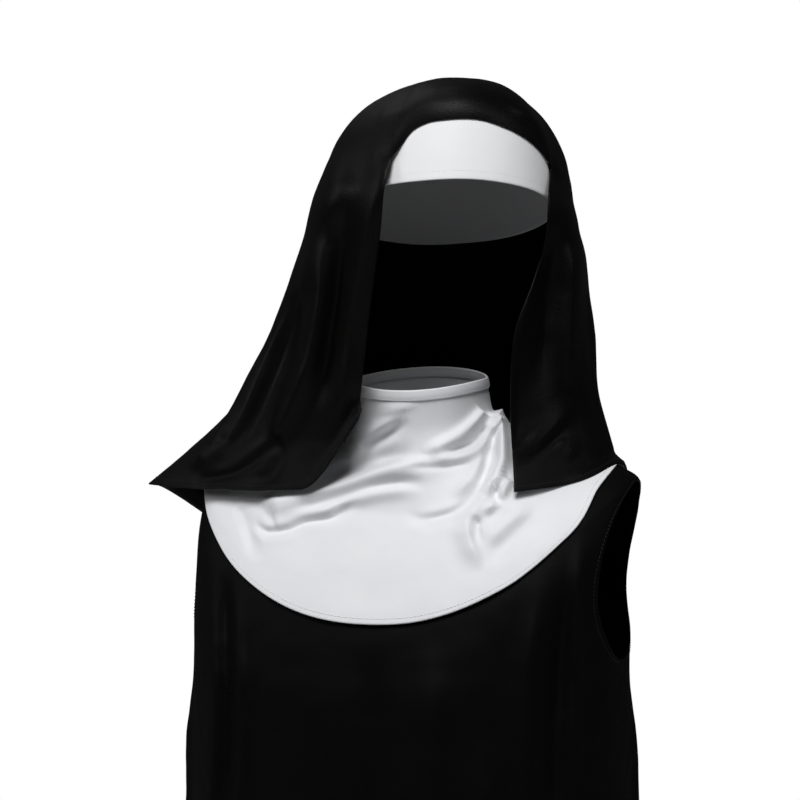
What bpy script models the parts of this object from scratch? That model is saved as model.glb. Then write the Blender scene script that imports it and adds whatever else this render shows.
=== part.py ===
"""A nun's habit in the pose of being worn: a black veil sewn to a white headband, a white collar
that flares into a round bib, and a black sleeveless tunic down to the ankles.

Metres, +Z up, the front faces -Y and the wearer's left is +X. The origin is the middle of the
base of the neck, where the habit is carried. The inside is hollow and open everywhere.
"""

import math
from collections import namedtuple

import bpy
import numpy as np
from mathutils import Vector
from mathutils.bvhtree import BVHTree

# Cloth walls, and the gap that neighbouring pieces keep.
TUNIC_WALL = 0.0015
COLLAR_WALL = 0.0015
BINDING_WALL = 0.0012
BAND_WALL = 0.0015
VEIL_WALL = 0.0015
GAP = 0.0003
LAID = 0.0006
MOST_PUSH = 0.012
LAY_ROUNDS = 4

# Tunic, a row for each ring from the neckline down to the hem. The ring's height differs at
# the side (over the shoulder), at the middle of the front and at the middle of the back.
TunicRing = namedtuple(
    "TunicRing", "name centre_x half_width front back squareness z_side z_front z_back"
)
TUNIC_RINGS = [
    TunicRing("neckline", 0.000, 0.092, 0.074, 0.062, 2.1, 0.010, -0.030, 0.004),
    TunicRing("yoke", -0.002, 0.122, 0.090, 0.082, 2.2, 0.001, -0.056, -0.034),
    TunicRing("strap_end", -0.004, 0.158, 0.106, 0.098, 2.3, -0.015, -0.086, -0.074),
    TunicRing("armhole_top", -0.007, 0.161, 0.118, 0.108, 2.35, -0.042, -0.112, -0.106),
    TunicRing("armhole_middle", -0.010, 0.159, 0.124, 0.113, 2.4, -0.088, -0.138, -0.136),
    TunicRing("underarm", -0.012, 0.158, 0.128, 0.114, 2.4, -0.142, -0.168, -0.168),
    TunicRing("ribs", -0.012, 0.160, 0.127, 0.110, 2.3, -0.240, -0.250, -0.250),
    TunicRing("waist", -0.012, 0.166, 0.122, 0.110, 2.2, -0.380, -0.385, -0.385),
    TunicRing("hip", -0.012, 0.196, 0.140, 0.134, 2.1, -0.580, -0.582, -0.582),
    TunicRing("knee", -0.012, 0.238, 0.178, 0.172, 2.1, -0.940, -0.940, -0.940),
    TunicRing("hem", -0.012, 0.280, 0.216, 0.210, 2.1, -1.300, -1.300, -1.300),
]
SIDE_ROUNDNESS = 1.6
TUNIC_ROWS_STRAP = 6
TUNIC_ROWS_ARMHOLE = 10
TUNIC_ROWS_BELOW = 10
TUNIC_COLUMNS = 26
STRAP_END = 2.0
UNDERARM = 5.0
ARMHOLE_FRONT = math.radians(23.0)
ARMHOLE_BACK = math.radians(30.0)
ARMHOLE_ROUNDNESS = 0.5

# Skirt flutes, evenly many all round. Two slow waves move their places, and one their depth.
FLUTES = 13
FLUTE_DEPTH_AT_HEM = 0.016
FLUTE_START = 5.6
SlowWave = namedtuple("SlowWave", "amount per_turn start")
FLUTE_PLACES = [SlowWave(1.0, 3, 0.6), SlowWave(0.73, 5, 2.0)]
FLUTE_DEPTHS = SlowWave(0.25, 2, 1.1)

# Collar, a row for each ring from the neck edge to where it meets the chest; past that it
# lies on the tunic, out to the bib's round edge.
CollarRing = namedtuple("CollarRing", "name half_width front back centre_y z_side z_front z_back")
COLLAR_RINGS = [
    CollarRing("neck_edge", 0.048, 0.049, 0.049, -0.020, 0.056, 0.049, 0.062),
    CollarRing("mid_stand", 0.050, 0.051, 0.052, -0.014, 0.034, 0.026, 0.042),
    CollarRing("neck_base", 0.062, 0.062, 0.060, -0.006, 0.021, 0.000, 0.026),
    CollarRing("flare", 0.090, 0.082, 0.078, 0.000, 0.0155, -0.034, 0.004),
]
COLLAR_RISE = 0.0026
BIB_START = 0.22
BIB_LIFT_UP = 0.6
BibPoint = namedtuple("BibPoint", "name turn ring")
BIB_EDGE = [
    BibPoint("left_shoulder", 0, 1.42),
    BibPoint("left_back", 25, 1.60),
    BibPoint("left_blade", 50, 2.40),
    BibPoint("back", 90, 2.90),
    BibPoint("right_blade", 130, 2.60),
    BibPoint("right_back", 155, 2.10),
    BibPoint("right_shoulder", 180, 1.93),
    BibPoint("right_front", 205, 2.12),
    BibPoint("right_chest", 235, 2.58),
    BibPoint("front", 270, 2.92),
    BibPoint("left_chest", 300, 2.52),
    BibPoint("left_front", 320, 1.98),
    BibPoint("left_strap", 340, 1.52),
    BibPoint("left_shoulder_again", 360, 1.42),
]
COLLAR_COLUMNS = 52
COLLAR_ROWS_STAND = 7
COLLAR_ROWS_BIB = 7
BINDING_WIDTH = 0.0065
BINDING_ABOVE_EDGE = 0.0010

# Head: where the middle of the headband's ring lies, and how the head is turned and tilted.
HEAD_CENTRE = Vector((0.019, -0.020, 0.200))
HEAD_TURN = math.radians(27.0)
HEAD_LEAN = math.radians(2.5)
BAND_TILT = math.radians(12.0)
BAND_HALF_WIDTH = 0.0735
BAND_HALF_LENGTH = 0.096
BAND_HEIGHT = 0.050
BAND_TAPER = 0.13
BAND_COLUMNS = 72
BAND_ROWS = 3

# How high the veil passes over the band, from the band's middle line, a row for each place
# turned from the middle of the face towards the wearer's left. It is sewn down from right_end
# to left_end and stands off by the overhang behind them.
SewnPoint = namedtuple("SewnPoint", "name turn height overhang")
SEWN_POINTS = [
    SewnPoint("right_end", -40, -0.008, 0.0000),
    SewnPoint("right_corner", -30, 0.0105, 0.0000),
    SewnPoint("right_brow", -20, 0.0150, 0.0000),
    SewnPoint("middle", 0, 0.0165, 0.0000),
    SewnPoint("left_brow", 20, 0.0125, 0.0000),
    SewnPoint("left_temple", 40, 0.0060, 0.0000),
    SewnPoint("left_corner", 52, 0.0000, 0.0005),
    SewnPoint("left_end", 65, -0.0110, 0.0045),
    SewnPoint("left_side", 82, -0.0090, 0.0130),
    SewnPoint("left_back", 110, -0.0050, 0.0145),
    SewnPoint("behind", 190, 0.0060, 0.0070),
    SewnPoint("right_side", 275, 0.0040, 0.0065),
    SewnPoint("right_end_again", 320, -0.0080, 0.0000),
]
SEWN_RIGHT = -40
SEWN_LEFT = 65
SEAM_TOUCH = 0.0003
CROWN = Vector((0.022, -0.005, 0.2695))

# Veil, a row for each section below the band. The section is an oval round its centre, open
# at the front between two angles counted from the wearer's left side by way of the back.
VeilSection = namedtuple(
    "VeilSection",
    "name turn centre_x centre_y to_left to_right front back open_left open_right "
    "z_left_edge z_left_front z_left z_back z_right z_right_front z_right_edge",
)
VEIL_SECTIONS = [
    VeilSection("brow", 24, 0.019, -0.020, 0.094, 0.092, 0.100, 0.106, -45, 237,
                0.178, 0.174, 0.170, 0.150, 0.182, 0.188, 0.190),
    VeilSection("ear", 19, 0.016, -0.014, 0.100, 0.1025, 0.096, 0.110, -44.5, 243,
                0.144, 0.142, 0.138, 0.108, 0.144, 0.150, 0.154),
    VeilSection("cheek", 13, 0.006, -0.008, 0.113, 0.102, 0.090, 0.110, -57.7, 248,
                0.095, 0.096, 0.096, 0.056, 0.098, 0.100, 0.100),
    VeilSection("chin", 8, 0.000, -0.004, 0.119, 0.119, 0.084, 0.108, -53.8, 254.5,
                0.046, 0.048, 0.054, 0.002, 0.059, 0.048, 0.060),
    VeilSection("neck_base", 2, 0.000, 0.000, 0.1265, 0.160, 0.082, 0.106, -51.3, 260.3,
                0.008, 0.012, 0.024, -0.060, 0.020, 0.007, 0.042),
    VeilSection("hem", 0, 0.000, 0.000, 0.136, 0.208, 0.090, 0.118, -51.1, 264.4,
                -0.018, -0.013, -0.004, -0.150, -0.033, -0.0195, 0.032),
]
FRONT_EDGE_SHARE = 0.85
CROWN_FLATNESS = 1.08
VEIL_FACE_COLUMNS = 21
VEIL_HANGING_COLUMNS = 44
VEIL_CAP_ROWS = 8
VEIL_DROP_ROWS = 18

# Creases: a bent line as seen in a picture plane with its own turn (0 looks at the front), how
# far it stands out (below 0 it is a trough), and how quickly it falls away on its two sides,
# left and right of the way from its start to its end. It tapers to both ends, where a share of
# its height is left, and it ends behind the middle of the body.
CREASE_STEPS = 16
CREASE_ENDS = 0.3
CREASE_TAPER = 0.25
CREASE_DEPTH = 0.04
Crease = namedtuple("Crease", "name turn from_x from_z bend_x bend_z to_x to_z out left right")
COLLAR_CREASES = [
    Crease("roll_top", 18, -0.118, -0.030, -0.050, -0.004, 0.016, -0.001, 0.005, 0.010, 0.007),
    Crease("roll_low", 18, -0.120, -0.048, -0.060, -0.040, 0.024, -0.012, 0.006, 0.008, 0.012),
    Crease("cusp", 18, 0.050, 0.026, 0.060, -0.010, 0.012, -0.032, 0.008, 0.010, 0.008),
    Crease("cusp_inner", 18, 0.038, 0.028, 0.020, 0.010, -0.006, 0.006, 0.005, 0.008, 0.006),
    Crease("low_vee_left", 18, 0.022, -0.040, 0.032, -0.060, 0.040, -0.088, 0.004, 0.008, 0.008),
    Crease("low_vee_right", 18, 0.038, -0.060, 0.062, -0.050, 0.084, -0.028, 0.004, 0.008, 0.008),
    Crease("low_left", 18, -0.132, -0.030, -0.124, -0.050, -0.118, -0.072, -0.003, 0.008, 0.008),
    Crease("back_roll", 198, -0.080, -0.040, 0.000, -0.004, 0.080, -0.044, 0.005, 0.010, 0.010),
]
VEIL_CREASES = [
    Crease("temple_top", 18, 0.030, 0.247, -0.016, 0.258, -0.020, 0.226, 0.008, 0.008, 0.010),
    Crease("temple_edge", 18, -0.018, 0.230, -0.034, 0.190, -0.050, 0.134, 0.009, 0.007, 0.012),
    Crease("edge_roll", 18, -0.046, 0.150, -0.062, 0.085, -0.062, 0.012, 0.008, 0.008, 0.012),
    Crease("panel_inner", 18, -0.064, 0.144, -0.060, 0.080, -0.080, 0.026, -0.007, 0.009, 0.009),
    Crease("panel_middle", 18, -0.077, 0.145, -0.062, 0.044, -0.152, -0.012, 0.011, 0.008, 0.012),
    Crease("panel_valley", 18, -0.082, 0.127, -0.094, 0.040, -0.152, -0.004, -0.005, 0.007, 0.007),
    Crease("panel_outer", 18, -0.084, 0.147, -0.114, 0.046, -0.174, 0.000, 0.009, 0.009, 0.012),
    Crease("panel_low", 18, -0.087, 0.028, -0.118, -0.008, -0.156, -0.020, -0.005, 0.006, 0.006),
    Crease("right_temple", 18, 0.048, 0.254, 0.074, 0.242, 0.088, 0.204, 0.006, 0.009, 0.007),
    Crease("right_hang", 18, 0.101, 0.146, 0.100, 0.090, 0.101, 0.040, 0.011, 0.009, 0.010),
    Crease("right_valley", 18, 0.084, 0.160, 0.086, 0.100, 0.086, 0.040, -0.008, 0.009, 0.009),
    Crease("right_turn", 18, 0.102, 0.034, 0.092, 0.014, 0.062, -0.008, 0.007, 0.008, 0.008),
    Crease("nape", 198, -0.070, 0.120, 0.000, 0.104, 0.070, 0.124, 0.004, 0.016, 0.012),
    Crease("back_left", 198, 0.048, 0.110, 0.062, 0.010, 0.096, -0.100, 0.010, 0.014, 0.018),
    Crease("back_middle", 198, 0.004, 0.096, -0.008, 0.010, 0.006, -0.150, 0.009, 0.016, 0.014),
    Crease("back_right", 198, -0.052, 0.110, -0.060, 0.020, -0.074, -0.110, 0.010, 0.016, 0.014),
    Crease("side_right", -75, 0.030, 0.120, 0.014, 0.050, 0.020, -0.020, 0.008, 0.012, 0.014),
    Crease("side_left", 105, -0.020, 0.120, -0.010, 0.060, -0.024, -0.010, 0.008, 0.012, 0.012),
]
TUNIC_CREASES = [
    Crease("strap_right", 18, -0.150, -0.062, -0.152, -0.110, -0.150, -0.330, 0.005, 0.008, 0.010),
    Crease("chest_right", 18, -0.135, -0.090, -0.136, -0.160, -0.126, -0.420, 0.005, 0.009, 0.010),
    Crease("chest_middle", 18, -0.014, -0.120, 0.000, -0.200, -0.010, -0.420, 0.005, 0.014, 0.014),
    Crease("chest_left", 18, 0.084, -0.086, 0.072, -0.160, 0.078, -0.400, 0.006, 0.012, 0.010),
    Crease("strap_left", 18, 0.111, -0.056, 0.104, -0.100, 0.108, -0.330, 0.005, 0.008, 0.010),
    Crease("back_left", 198, 0.090, -0.110, 0.080, -0.200, 0.090, -0.420, 0.006, 0.014, 0.014),
    Crease("back_right", 198, -0.070, -0.110, -0.064, -0.200, -0.078, -0.420, 0.006, 0.014, 0.014),
]

Cloth = namedtuple("Cloth", "name colour roughness")
BLACK = Cloth("black cloth", (0.012, 0.012, 0.013), 0.62)
WHITE = Cloth("white knit", (0.86, 0.87, 0.89), 0.55)


def ease(x):
    """0 below 0, 1 above 1, and a soft step between."""
    x = np.clip(x, 0.0, 1.0)
    return x * x * (3.0 - 2.0 * x)


def through(stations, values, at):
    """A smooth curve through values at stations that never overshoots them, read at points."""
    stations = np.asarray(stations, float)
    values = np.asarray(values, float)
    step = np.diff(stations)
    slope = np.diff(values) / step
    tangent = np.zeros_like(values)
    tangent[0], tangent[-1] = slope[0], slope[-1]
    before, after = slope[:-1], slope[1:]
    same_way = before * after > 0
    blend = np.where(same_way, 2.0 * before * after / np.where(same_way, before + after, 1.0), 0.0)
    tangent[1:-1] = blend
    at = np.clip(np.asarray(at, float), stations[0], stations[-1])
    k = np.clip(np.searchsorted(stations, at, side="right") - 1, 0, len(step) - 1)
    h = step[k]
    t = (at - stations[k]) / h
    return (
        values[k] * (1 + 2 * t) * (1 - t) ** 2
        + tangent[k] * h * t * (1 - t) ** 2
        + values[k + 1] * t * t * (3 - 2 * t)
        + tangent[k + 1] * h * t * t * (t - 1)
    )


def column(table, name):
    return [getattr(row, name) for row in table]


def oval(angle, half_width, front, back, squareness):
    """Plan of a ring: x and y at an angle that starts at the wearer's left and goes by the back."""
    across, along = np.cos(angle), np.sin(angle)
    power = 2.0 / squareness
    x = half_width * np.sign(across) * np.abs(across) ** power
    reach = np.where(along < 0, front, back)
    y = reach * np.sign(along) * np.abs(along) ** power
    return x, y


def tunic_surface(angle, ring):
    """A point of the tunic's inner side, before its folds."""
    stations = range(len(TUNIC_RINGS))
    sizes = {
        name: through(stations, column(TUNIC_RINGS, name), ring)
        for name in TunicRing._fields[1:]
    }
    x, y = oval(
        angle, sizes["half_width"], sizes["front"], sizes["back"], sizes["squareness"]
    )
    x = x + sizes["centre_x"]
    along = np.sin(angle)
    middle = np.where(along < 0, sizes["z_front"], sizes["z_back"])
    z = sizes["z_side"] + (middle - sizes["z_side"]) * np.abs(along) ** SIDE_ROUNDNESS
    return np.stack([x, y, z], axis=-1)


def flutes(angle, ring):
    """How far the skirt's flutes stand out; they start under the arms and deepen to the hem."""
    grown = ease((ring - FLUTE_START) / (len(TUNIC_RINGS) - 1 - FLUTE_START))
    swing = sum(w.amount * np.sin(w.per_turn * angle + w.start) for w in FLUTE_PLACES)
    change = np.sin(FLUTE_DEPTHS.per_turn * angle + FLUTE_DEPTHS.start)
    depth = 1 - FLUTE_DEPTHS.amount * (1 - change)
    wave = 0.5 + 0.5 * np.cos(FLUTES * angle + swing)
    return FLUTE_DEPTH_AT_HEM * grown * depth * wave


def normals_of(points):
    """Unit normals of a grid of points, rows by columns, pointing out of the garment."""
    down = np.gradient(points, axis=0)
    around = np.gradient(points, axis=1)
    normal = np.cross(down, around)
    return normal / np.maximum(np.linalg.norm(normal, axis=-1, keepdims=True), 1e-12)


def across_and_up(points, turn):
    """Where points lie in the picture plane of a turn, and how far behind it."""
    side, ahead = math.cos(math.radians(turn)), math.sin(math.radians(turn))
    across = points[..., 0] * side + points[..., 1] * ahead
    depth = points[..., 1] * side - points[..., 0] * ahead
    return across, points[..., 2], depth


def crease_height(points, creases):
    """The sum of the creases at each point of a grid."""
    total = np.zeros(points.shape[:-1])
    steps = np.linspace(0.0, 1.0, CREASE_STEPS + 1)
    for crease in creases:
        across, up, depth = across_and_up(points, crease.turn)
        start, bend, end = (1 - steps) ** 2, 2 * steps * (1 - steps), steps**2
        line_x = start * crease.from_x + bend * crease.bend_x + end * crease.to_x
        line_z = start * crease.from_z + bend * crease.bend_z + end * crease.to_z
        nearest = np.full(across.shape, np.inf)
        side = np.zeros(across.shape)
        along = np.zeros(across.shape)
        for k in range(CREASE_STEPS):
            run_x, run_z = line_x[k + 1] - line_x[k], line_z[k + 1] - line_z[k]
            off_x, off_z = across - line_x[k], up - line_z[k]
            part = np.clip((off_x * run_x + off_z * run_z) / (run_x**2 + run_z**2), 0.0, 1.0)
            off_x, off_z = off_x - part * run_x, off_z - part * run_z
            distance = np.hypot(off_x, off_z)
            nearer = distance < nearest
            nearest = np.where(nearer, distance, nearest)
            side = np.where(nearer, run_x * off_z - run_z * off_x, side)
            along = np.where(nearer, (k + part) / CREASE_STEPS, along)
        width = np.where(side > 0, crease.left, crease.right)
        taper = ease(along / CREASE_TAPER) * ease((1 - along) / CREASE_TAPER)
        facing = ease(0.5 - depth / CREASE_DEPTH)
        shape = np.exp(-((nearest / width) ** 2)) * (CREASE_ENDS + (1 - CREASE_ENDS) * taper)
        total += crease.out * shape * facing
    return total


def below_tree(*objects):
    """One search tree of the finished solids that a piece is laid on."""
    points, faces = [], []
    graph = bpy.context.evaluated_depsgraph_get()
    for obj in objects:
        mesh = obj.evaluated_get(graph).to_mesh()
        start = len(points)
        points += [v.co.copy() for v in mesh.vertices]
        faces += [[start + i for i in face.vertices] for face in mesh.polygons]
    return BVHTree.FromPolygons(points, faces)


def lay_on(points, tree, gap, reach=0.030, parts=5):
    """Moves a grid's points out along its normals until no part of its cells is under the tree."""
    points = points.copy()
    rows, columns = points.shape[:2]
    for _ in range(LAY_ROUNDS):
        out = normals_of(points)
        need = np.zeros((rows, columns))
        for i in range(parts * (rows - 1) + 1):
            low_i = min(i // parts, rows - 2)
            v = i / parts - low_i
            for j in range(parts * (columns - 1) + 1):
                low_j = min(j // parts, columns - 2)
                u = j / parts - low_j
                corners = (
                    (low_i, low_j, (1 - v) * (1 - u)),
                    (low_i, low_j + 1, (1 - v) * u),
                    (low_i + 1, low_j, v * (1 - u)),
                    (low_i + 1, low_j + 1, v * u),
                )
                at = sum(points[a, b] * share for a, b, share in corners)
                way = Vector(sum(out[a, b] * share for a, b, share in corners)).normalized()
                hit = tree.ray_cast(Vector(at) + way * reach, -way, 2 * reach)[3]
                if hit is None:
                    continue
                push = min(reach - hit + gap, MOST_PUSH)
                for a, b, share in corners:
                    if share > 0:
                        need[a, b] = max(need[a, b], push)
        if need.max() <= 0:
            break
        points += out * need[..., None]
    return points


def cloth_material(cloth):
    material = bpy.data.materials.new(cloth.name)
    material.use_nodes = True
    shader = material.node_tree.nodes["Principled BSDF"]
    shader.inputs["Base Color"].default_value = (*cloth.colour, 1.0)
    shader.inputs["Roughness"].default_value = cloth.roughness
    shader.inputs["Metallic"].default_value = 0.0
    material.diffuse_color = (*cloth.colour, 1.0)
    return material


def cloth_object(name, points, faces, wall, cloth, collection):
    """An open surface given its wall outwards."""
    mesh = bpy.data.meshes.new(name)
    mesh.from_pydata([tuple(p) for p in points], [], faces)
    mesh.materials.append(cloth_material(cloth))
    mesh.shade_smooth()
    piece = bpy.data.objects.new(name, mesh)
    collection.objects.link(piece)
    solidify = piece.modifiers.new("wall", "SOLIDIFY")
    solidify.thickness = wall
    solidify.offset = 1.0
    return piece


def grid_faces(rows, columns, closed, start=0):
    """Quads of a grid; a closed one joins its last column to its first."""
    faces = []
    for i in range(rows - 1):
        for j in range(columns if closed else columns - 1):
            k = (j + 1) % columns
            a, b = start + i * columns + j, start + i * columns + k
            faces.append((a, a + columns, b + columns, b))
    return faces


def tunic_panel(name, start_angle, armhole, shift, collection):
    """Half of the tunic, from one shoulder and side seam to the other."""
    strap = np.linspace(0.0, STRAP_END, TUNIC_ROWS_STRAP + 1)[:-1]
    turned = 0.5 - 0.5 * np.cos(np.linspace(0.0, math.pi, TUNIC_ROWS_ARMHOLE + 1))
    beside = STRAP_END + (UNDERARM - STRAP_END) * turned
    below = np.linspace(UNDERARM, len(TUNIC_RINGS) - 1, TUNIC_ROWS_BELOW + 1)[1:]
    rings = np.concatenate([strap, beside, below])
    part = np.clip((rings - STRAP_END) / (UNDERARM - STRAP_END), 0.0, 1.0)
    inset = armhole * np.sin(np.pi * part) ** ARMHOLE_ROUNDNESS
    across = np.linspace(0.0, 1.0, TUNIC_COLUMNS)
    angle = start_angle + inset[:, None] + across[None, :] * (math.pi - 2 * inset[:, None])
    ring = np.repeat(rings[:, None], TUNIC_COLUMNS, axis=1)
    points = tunic_surface(angle, ring)
    out = normals_of(points)
    height = flutes(angle, ring) + crease_height(points, TUNIC_CREASES)
    points += out * height[..., None]
    points[..., 1] += shift
    faces = grid_faces(len(rings), TUNIC_COLUMNS, closed=False)
    return cloth_object(name, points.reshape(-1, 3), faces, TUNIC_WALL, BLACK, collection)


def collar_grid(columns, rows_stand, rows_bib):
    """The collar's inner side: rings of the stand, then the bib lying on the tunic."""
    angle = np.arange(columns) * 2 * math.pi / columns
    along = np.sin(angle)
    stations = range(len(COLLAR_RINGS))
    grid = []
    for ring in np.linspace(0.0, len(COLLAR_RINGS) - 1, rows_stand):
        size = {
            name: through(stations, column(COLLAR_RINGS, name), ring)
            for name in CollarRing._fields[1:]
        }
        x, y = oval(angle, size["half_width"], size["front"], size["back"], 2.0)
        middle = np.where(along < 0, size["z_front"], size["z_back"])
        z = size["z_side"] + (middle - size["z_side"]) * np.abs(along) ** SIDE_ROUNDNESS
        grid.append(np.stack([x, y + size["centre_y"], z], axis=-1))
    edge = through(column(BIB_EDGE, "turn"), column(BIB_EDGE, "ring"), np.degrees(angle))
    for part in np.linspace(0.0, 1.0, rows_bib + 1)[1:]:
        on_tunic = tunic_surface(angle, BIB_START + (edge - BIB_START) * part)
        around = np.stack([np.cos(angle), np.sin(angle), np.full(angle.shape, BIB_LIFT_UP)], axis=-1)
        around /= np.linalg.norm(around, axis=-1, keepdims=True)
        grid.append(on_tunic + around * (TUNIC_WALL + COLLAR_RISE))
    return np.array(grid)


def close_round(points):
    """A closed grid with one column repeated at each end, so its normals agree at the joint."""
    return np.concatenate([points[:, -1:], points, points[:, :1]], axis=1)


def collar(tunic, collection):
    points = collar_grid(COLLAR_COLUMNS, COLLAR_ROWS_STAND, COLLAR_ROWS_BIB)
    wide = close_round(points)
    height = crease_height(wide, COLLAR_CREASES)
    wide = wide + normals_of(wide) * height[..., None]
    wide = lay_on(wide, below_tree(*tunic), LAID)
    points = wide[:, 1:-1]
    faces = grid_faces(points.shape[0], COLLAR_COLUMNS, closed=True)
    return cloth_object(
        "collar", points.reshape(-1, 3), faces, COLLAR_WALL, WHITE, collection
    )


def collar_binding(collection):
    """A narrow strip round the neck edge, made from the collar's own points, moved out."""
    fine = collar_grid(COLLAR_COLUMNS, COLLAR_ROWS_STAND, COLLAR_ROWS_BIB)
    wide = close_round(fine)
    out = normals_of(wide)[:, 1:-1]
    top, next_ring = fine[0], fine[1]
    way = next_ring - top
    length = np.linalg.norm(way, axis=-1, keepdims=True)
    below = top + way / length * BINDING_WIDTH
    above = top - way / length * BINDING_ABOVE_EDGE
    strip = np.array([above, below]) + out[0] * (COLLAR_WALL + GAP)
    faces = grid_faces(2, COLLAR_COLUMNS, closed=True)
    return cloth_object(
        "collar_binding", strip.reshape(-1, 3), faces, BINDING_WALL, WHITE, collection
    )


def head_axes():
    """The head's own left, back and up, after its turn and its lean."""
    left = np.array([math.cos(HEAD_TURN), math.sin(HEAD_TURN), 0.0])
    back = np.array([-math.sin(HEAD_TURN), math.cos(HEAD_TURN), 0.0])
    up = np.array([0.0, 0.0, 1.0])
    leaned_up = up * math.cos(HEAD_LEAN) + left * math.sin(HEAD_LEAN)
    leaned_left = left * math.cos(HEAD_LEAN) - up * math.sin(HEAD_LEAN)
    return leaned_left, back, leaned_up


def band_point(angle, height, outwards=0.0):
    """A point on the headband; the angle starts at the middle of the face, towards the left."""
    left, back, up = head_axes()
    grow = 1.0 - BAND_TAPER * height / BAND_HALF_WIDTH
    half_width = BAND_HALF_WIDTH * grow + outwards
    half_length = BAND_HALF_LENGTH * grow + outwards
    across = half_width * np.sin(angle)
    behind = -half_length * np.cos(angle)
    rise = height - math.tan(BAND_TILT) * behind
    centre = np.array(HEAD_CENTRE)
    return (
        centre
        + across[..., None] * left
        + behind[..., None] * back
        + rise[..., None] * up
    )


def headband(collection):
    angle = -np.arange(BAND_COLUMNS) * 2 * math.pi / BAND_COLUMNS
    heights = np.linspace(BAND_HEIGHT / 2, -BAND_HEIGHT / 2, BAND_ROWS)
    grid = np.array([band_point(angle, np.full(angle.shape, h)) for h in heights])
    faces = grid_faces(BAND_ROWS, BAND_COLUMNS, closed=True)
    return cloth_object(
        "headband", grid.reshape(-1, 3), faces, BAND_WALL, WHITE, collection
    )


def brow_ring(angle):
    """Where the veil passes over the band: sewn on it in front, hanging past it behind."""
    turn = (np.degrees(angle) - SEWN_RIGHT) % 360.0 + SEWN_RIGHT
    places = column(SEWN_POINTS, "turn")
    height = through(places, column(SEWN_POINTS, "height"), turn)
    overhang = through(places, column(SEWN_POINTS, "overhang"), turn)
    return band_point(angle, height, outwards=BAND_WALL + SEAM_TOUCH + overhang)


def veil_section(section, part):
    """A section's points at parts 0 (open edge on the wearer's left) to 1 (on the right)."""
    degrees = section.open_left + part * (section.open_right - section.open_left)
    angle = np.radians(degrees)
    reach = np.where(np.cos(angle) > 0, section.to_left, section.to_right)
    depth = np.where(np.sin(angle) < 0, section.front, section.back)
    x, y = reach * np.cos(angle), depth * np.sin(angle)
    turn = math.radians(section.turn)
    z = through(
        [
            section.open_left,
            0.5 * section.open_left,
            0,
            90,
            180,
            180 + FRONT_EDGE_SHARE * (section.open_right - 180),
            section.open_right,
        ],
        [getattr(section, k) for k in VeilSection._fields[-7:]],
        degrees,
    )
    return np.stack(
        [
            section.centre_x + x * math.cos(turn) - y * math.sin(turn),
            section.centre_y + x * math.sin(turn) + y * math.cos(turn),
            z,
        ],
        axis=-1,
    )


def veil_grids(face_columns, hanging_columns, cap_rows, drop_rows):
    """The cap from the crown to the band all round, and the drop from there to the hem."""
    face = np.linspace(SEWN_RIGHT, SEWN_LEFT, face_columns + 1)[1:-1]
    hanging_part = np.linspace(0.0, 1.0, hanging_columns)
    hanging = SEWN_LEFT + hanging_part * (360.0 + SEWN_RIGHT - SEWN_LEFT)
    around = np.radians(np.concatenate([hanging, face]))
    brow = brow_ring(around)
    crown = np.array(CROWN)
    cap = []
    for part in np.linspace(0.0, 1.0, cap_rows + 1)[1:]:
        outwards = math.sin(part * math.pi / 2)
        down = 1.0 - math.cos(part * math.pi / 2) ** CROWN_FLATNESS
        flat = crown + (brow - crown) * np.array([outwards, outwards, 0.0])
        flat[:, 2] = crown[2] + (brow[:, 2] - crown[2]) * down
        cap.append(flat)
    cap = np.array(cap)
    keys = [cap[-2, :hanging_columns], cap[-1, :hanging_columns]]
    keys += [veil_section(section, hanging_part) for section in VEIL_SECTIONS]
    keys = np.array(keys)
    stations = np.arange(len(keys))
    rows = np.linspace(1.0, len(keys) - 1, drop_rows + 1)[1:]
    drop = np.array(
        [
            [
                [through(stations, keys[:, j, axis], row) for axis in range(3)]
                for j in range(hanging_columns)
            ]
            for row in rows
        ]
    )
    return cap, drop


def veil(below, collection):
    cap, drop = veil_grids(
        VEIL_FACE_COLUMNS, VEIL_HANGING_COLUMNS, VEIL_CAP_ROWS, VEIL_DROP_ROWS
    )
    hanging = np.concatenate([cap[:, :VEIL_HANGING_COLUMNS], drop])
    hanging += normals_of(hanging) * crease_height(hanging, VEIL_CREASES)[..., None]
    hanging = lay_on(hanging, below_tree(*below), LAID)
    face = np.concatenate([cap[:, VEIL_HANGING_COLUMNS - 2 :], cap[:, :2]], axis=1)
    face += normals_of(face) * crease_height(face, VEIL_CREASES)[..., None]
    face = lay_on(face, below_tree(*below), LAID)[:, 2:-2]
    points = [np.array(CROWN)]
    points += list(hanging.reshape(-1, 3))
    face_start = len(points)
    points += list(face.reshape(-1, 3))
    faces = grid_faces(hanging.shape[0], VEIL_HANGING_COLUMNS, closed=False, start=1)
    face_columns = face.shape[1]

    def at(i, j):
        if j < VEIL_HANGING_COLUMNS:
            return 1 + i * VEIL_HANGING_COLUMNS + j
        return face_start + i * face_columns + j - VEIL_HANGING_COLUMNS

    total = VEIL_HANGING_COLUMNS + face_columns
    for j in range(total):
        faces.append((0, at(0, j), at(0, (j + 1) % total)))
    for i in range(VEIL_CAP_ROWS - 1):
        for j in range(VEIL_HANGING_COLUMNS - 1, total):
            k = (j + 1) % total
            faces.append((at(i, j), at(i + 1, j), at(i + 1, k), at(i, k)))
    return cloth_object("veil", points, faces, VEIL_WALL, BLACK, collection)


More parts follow.
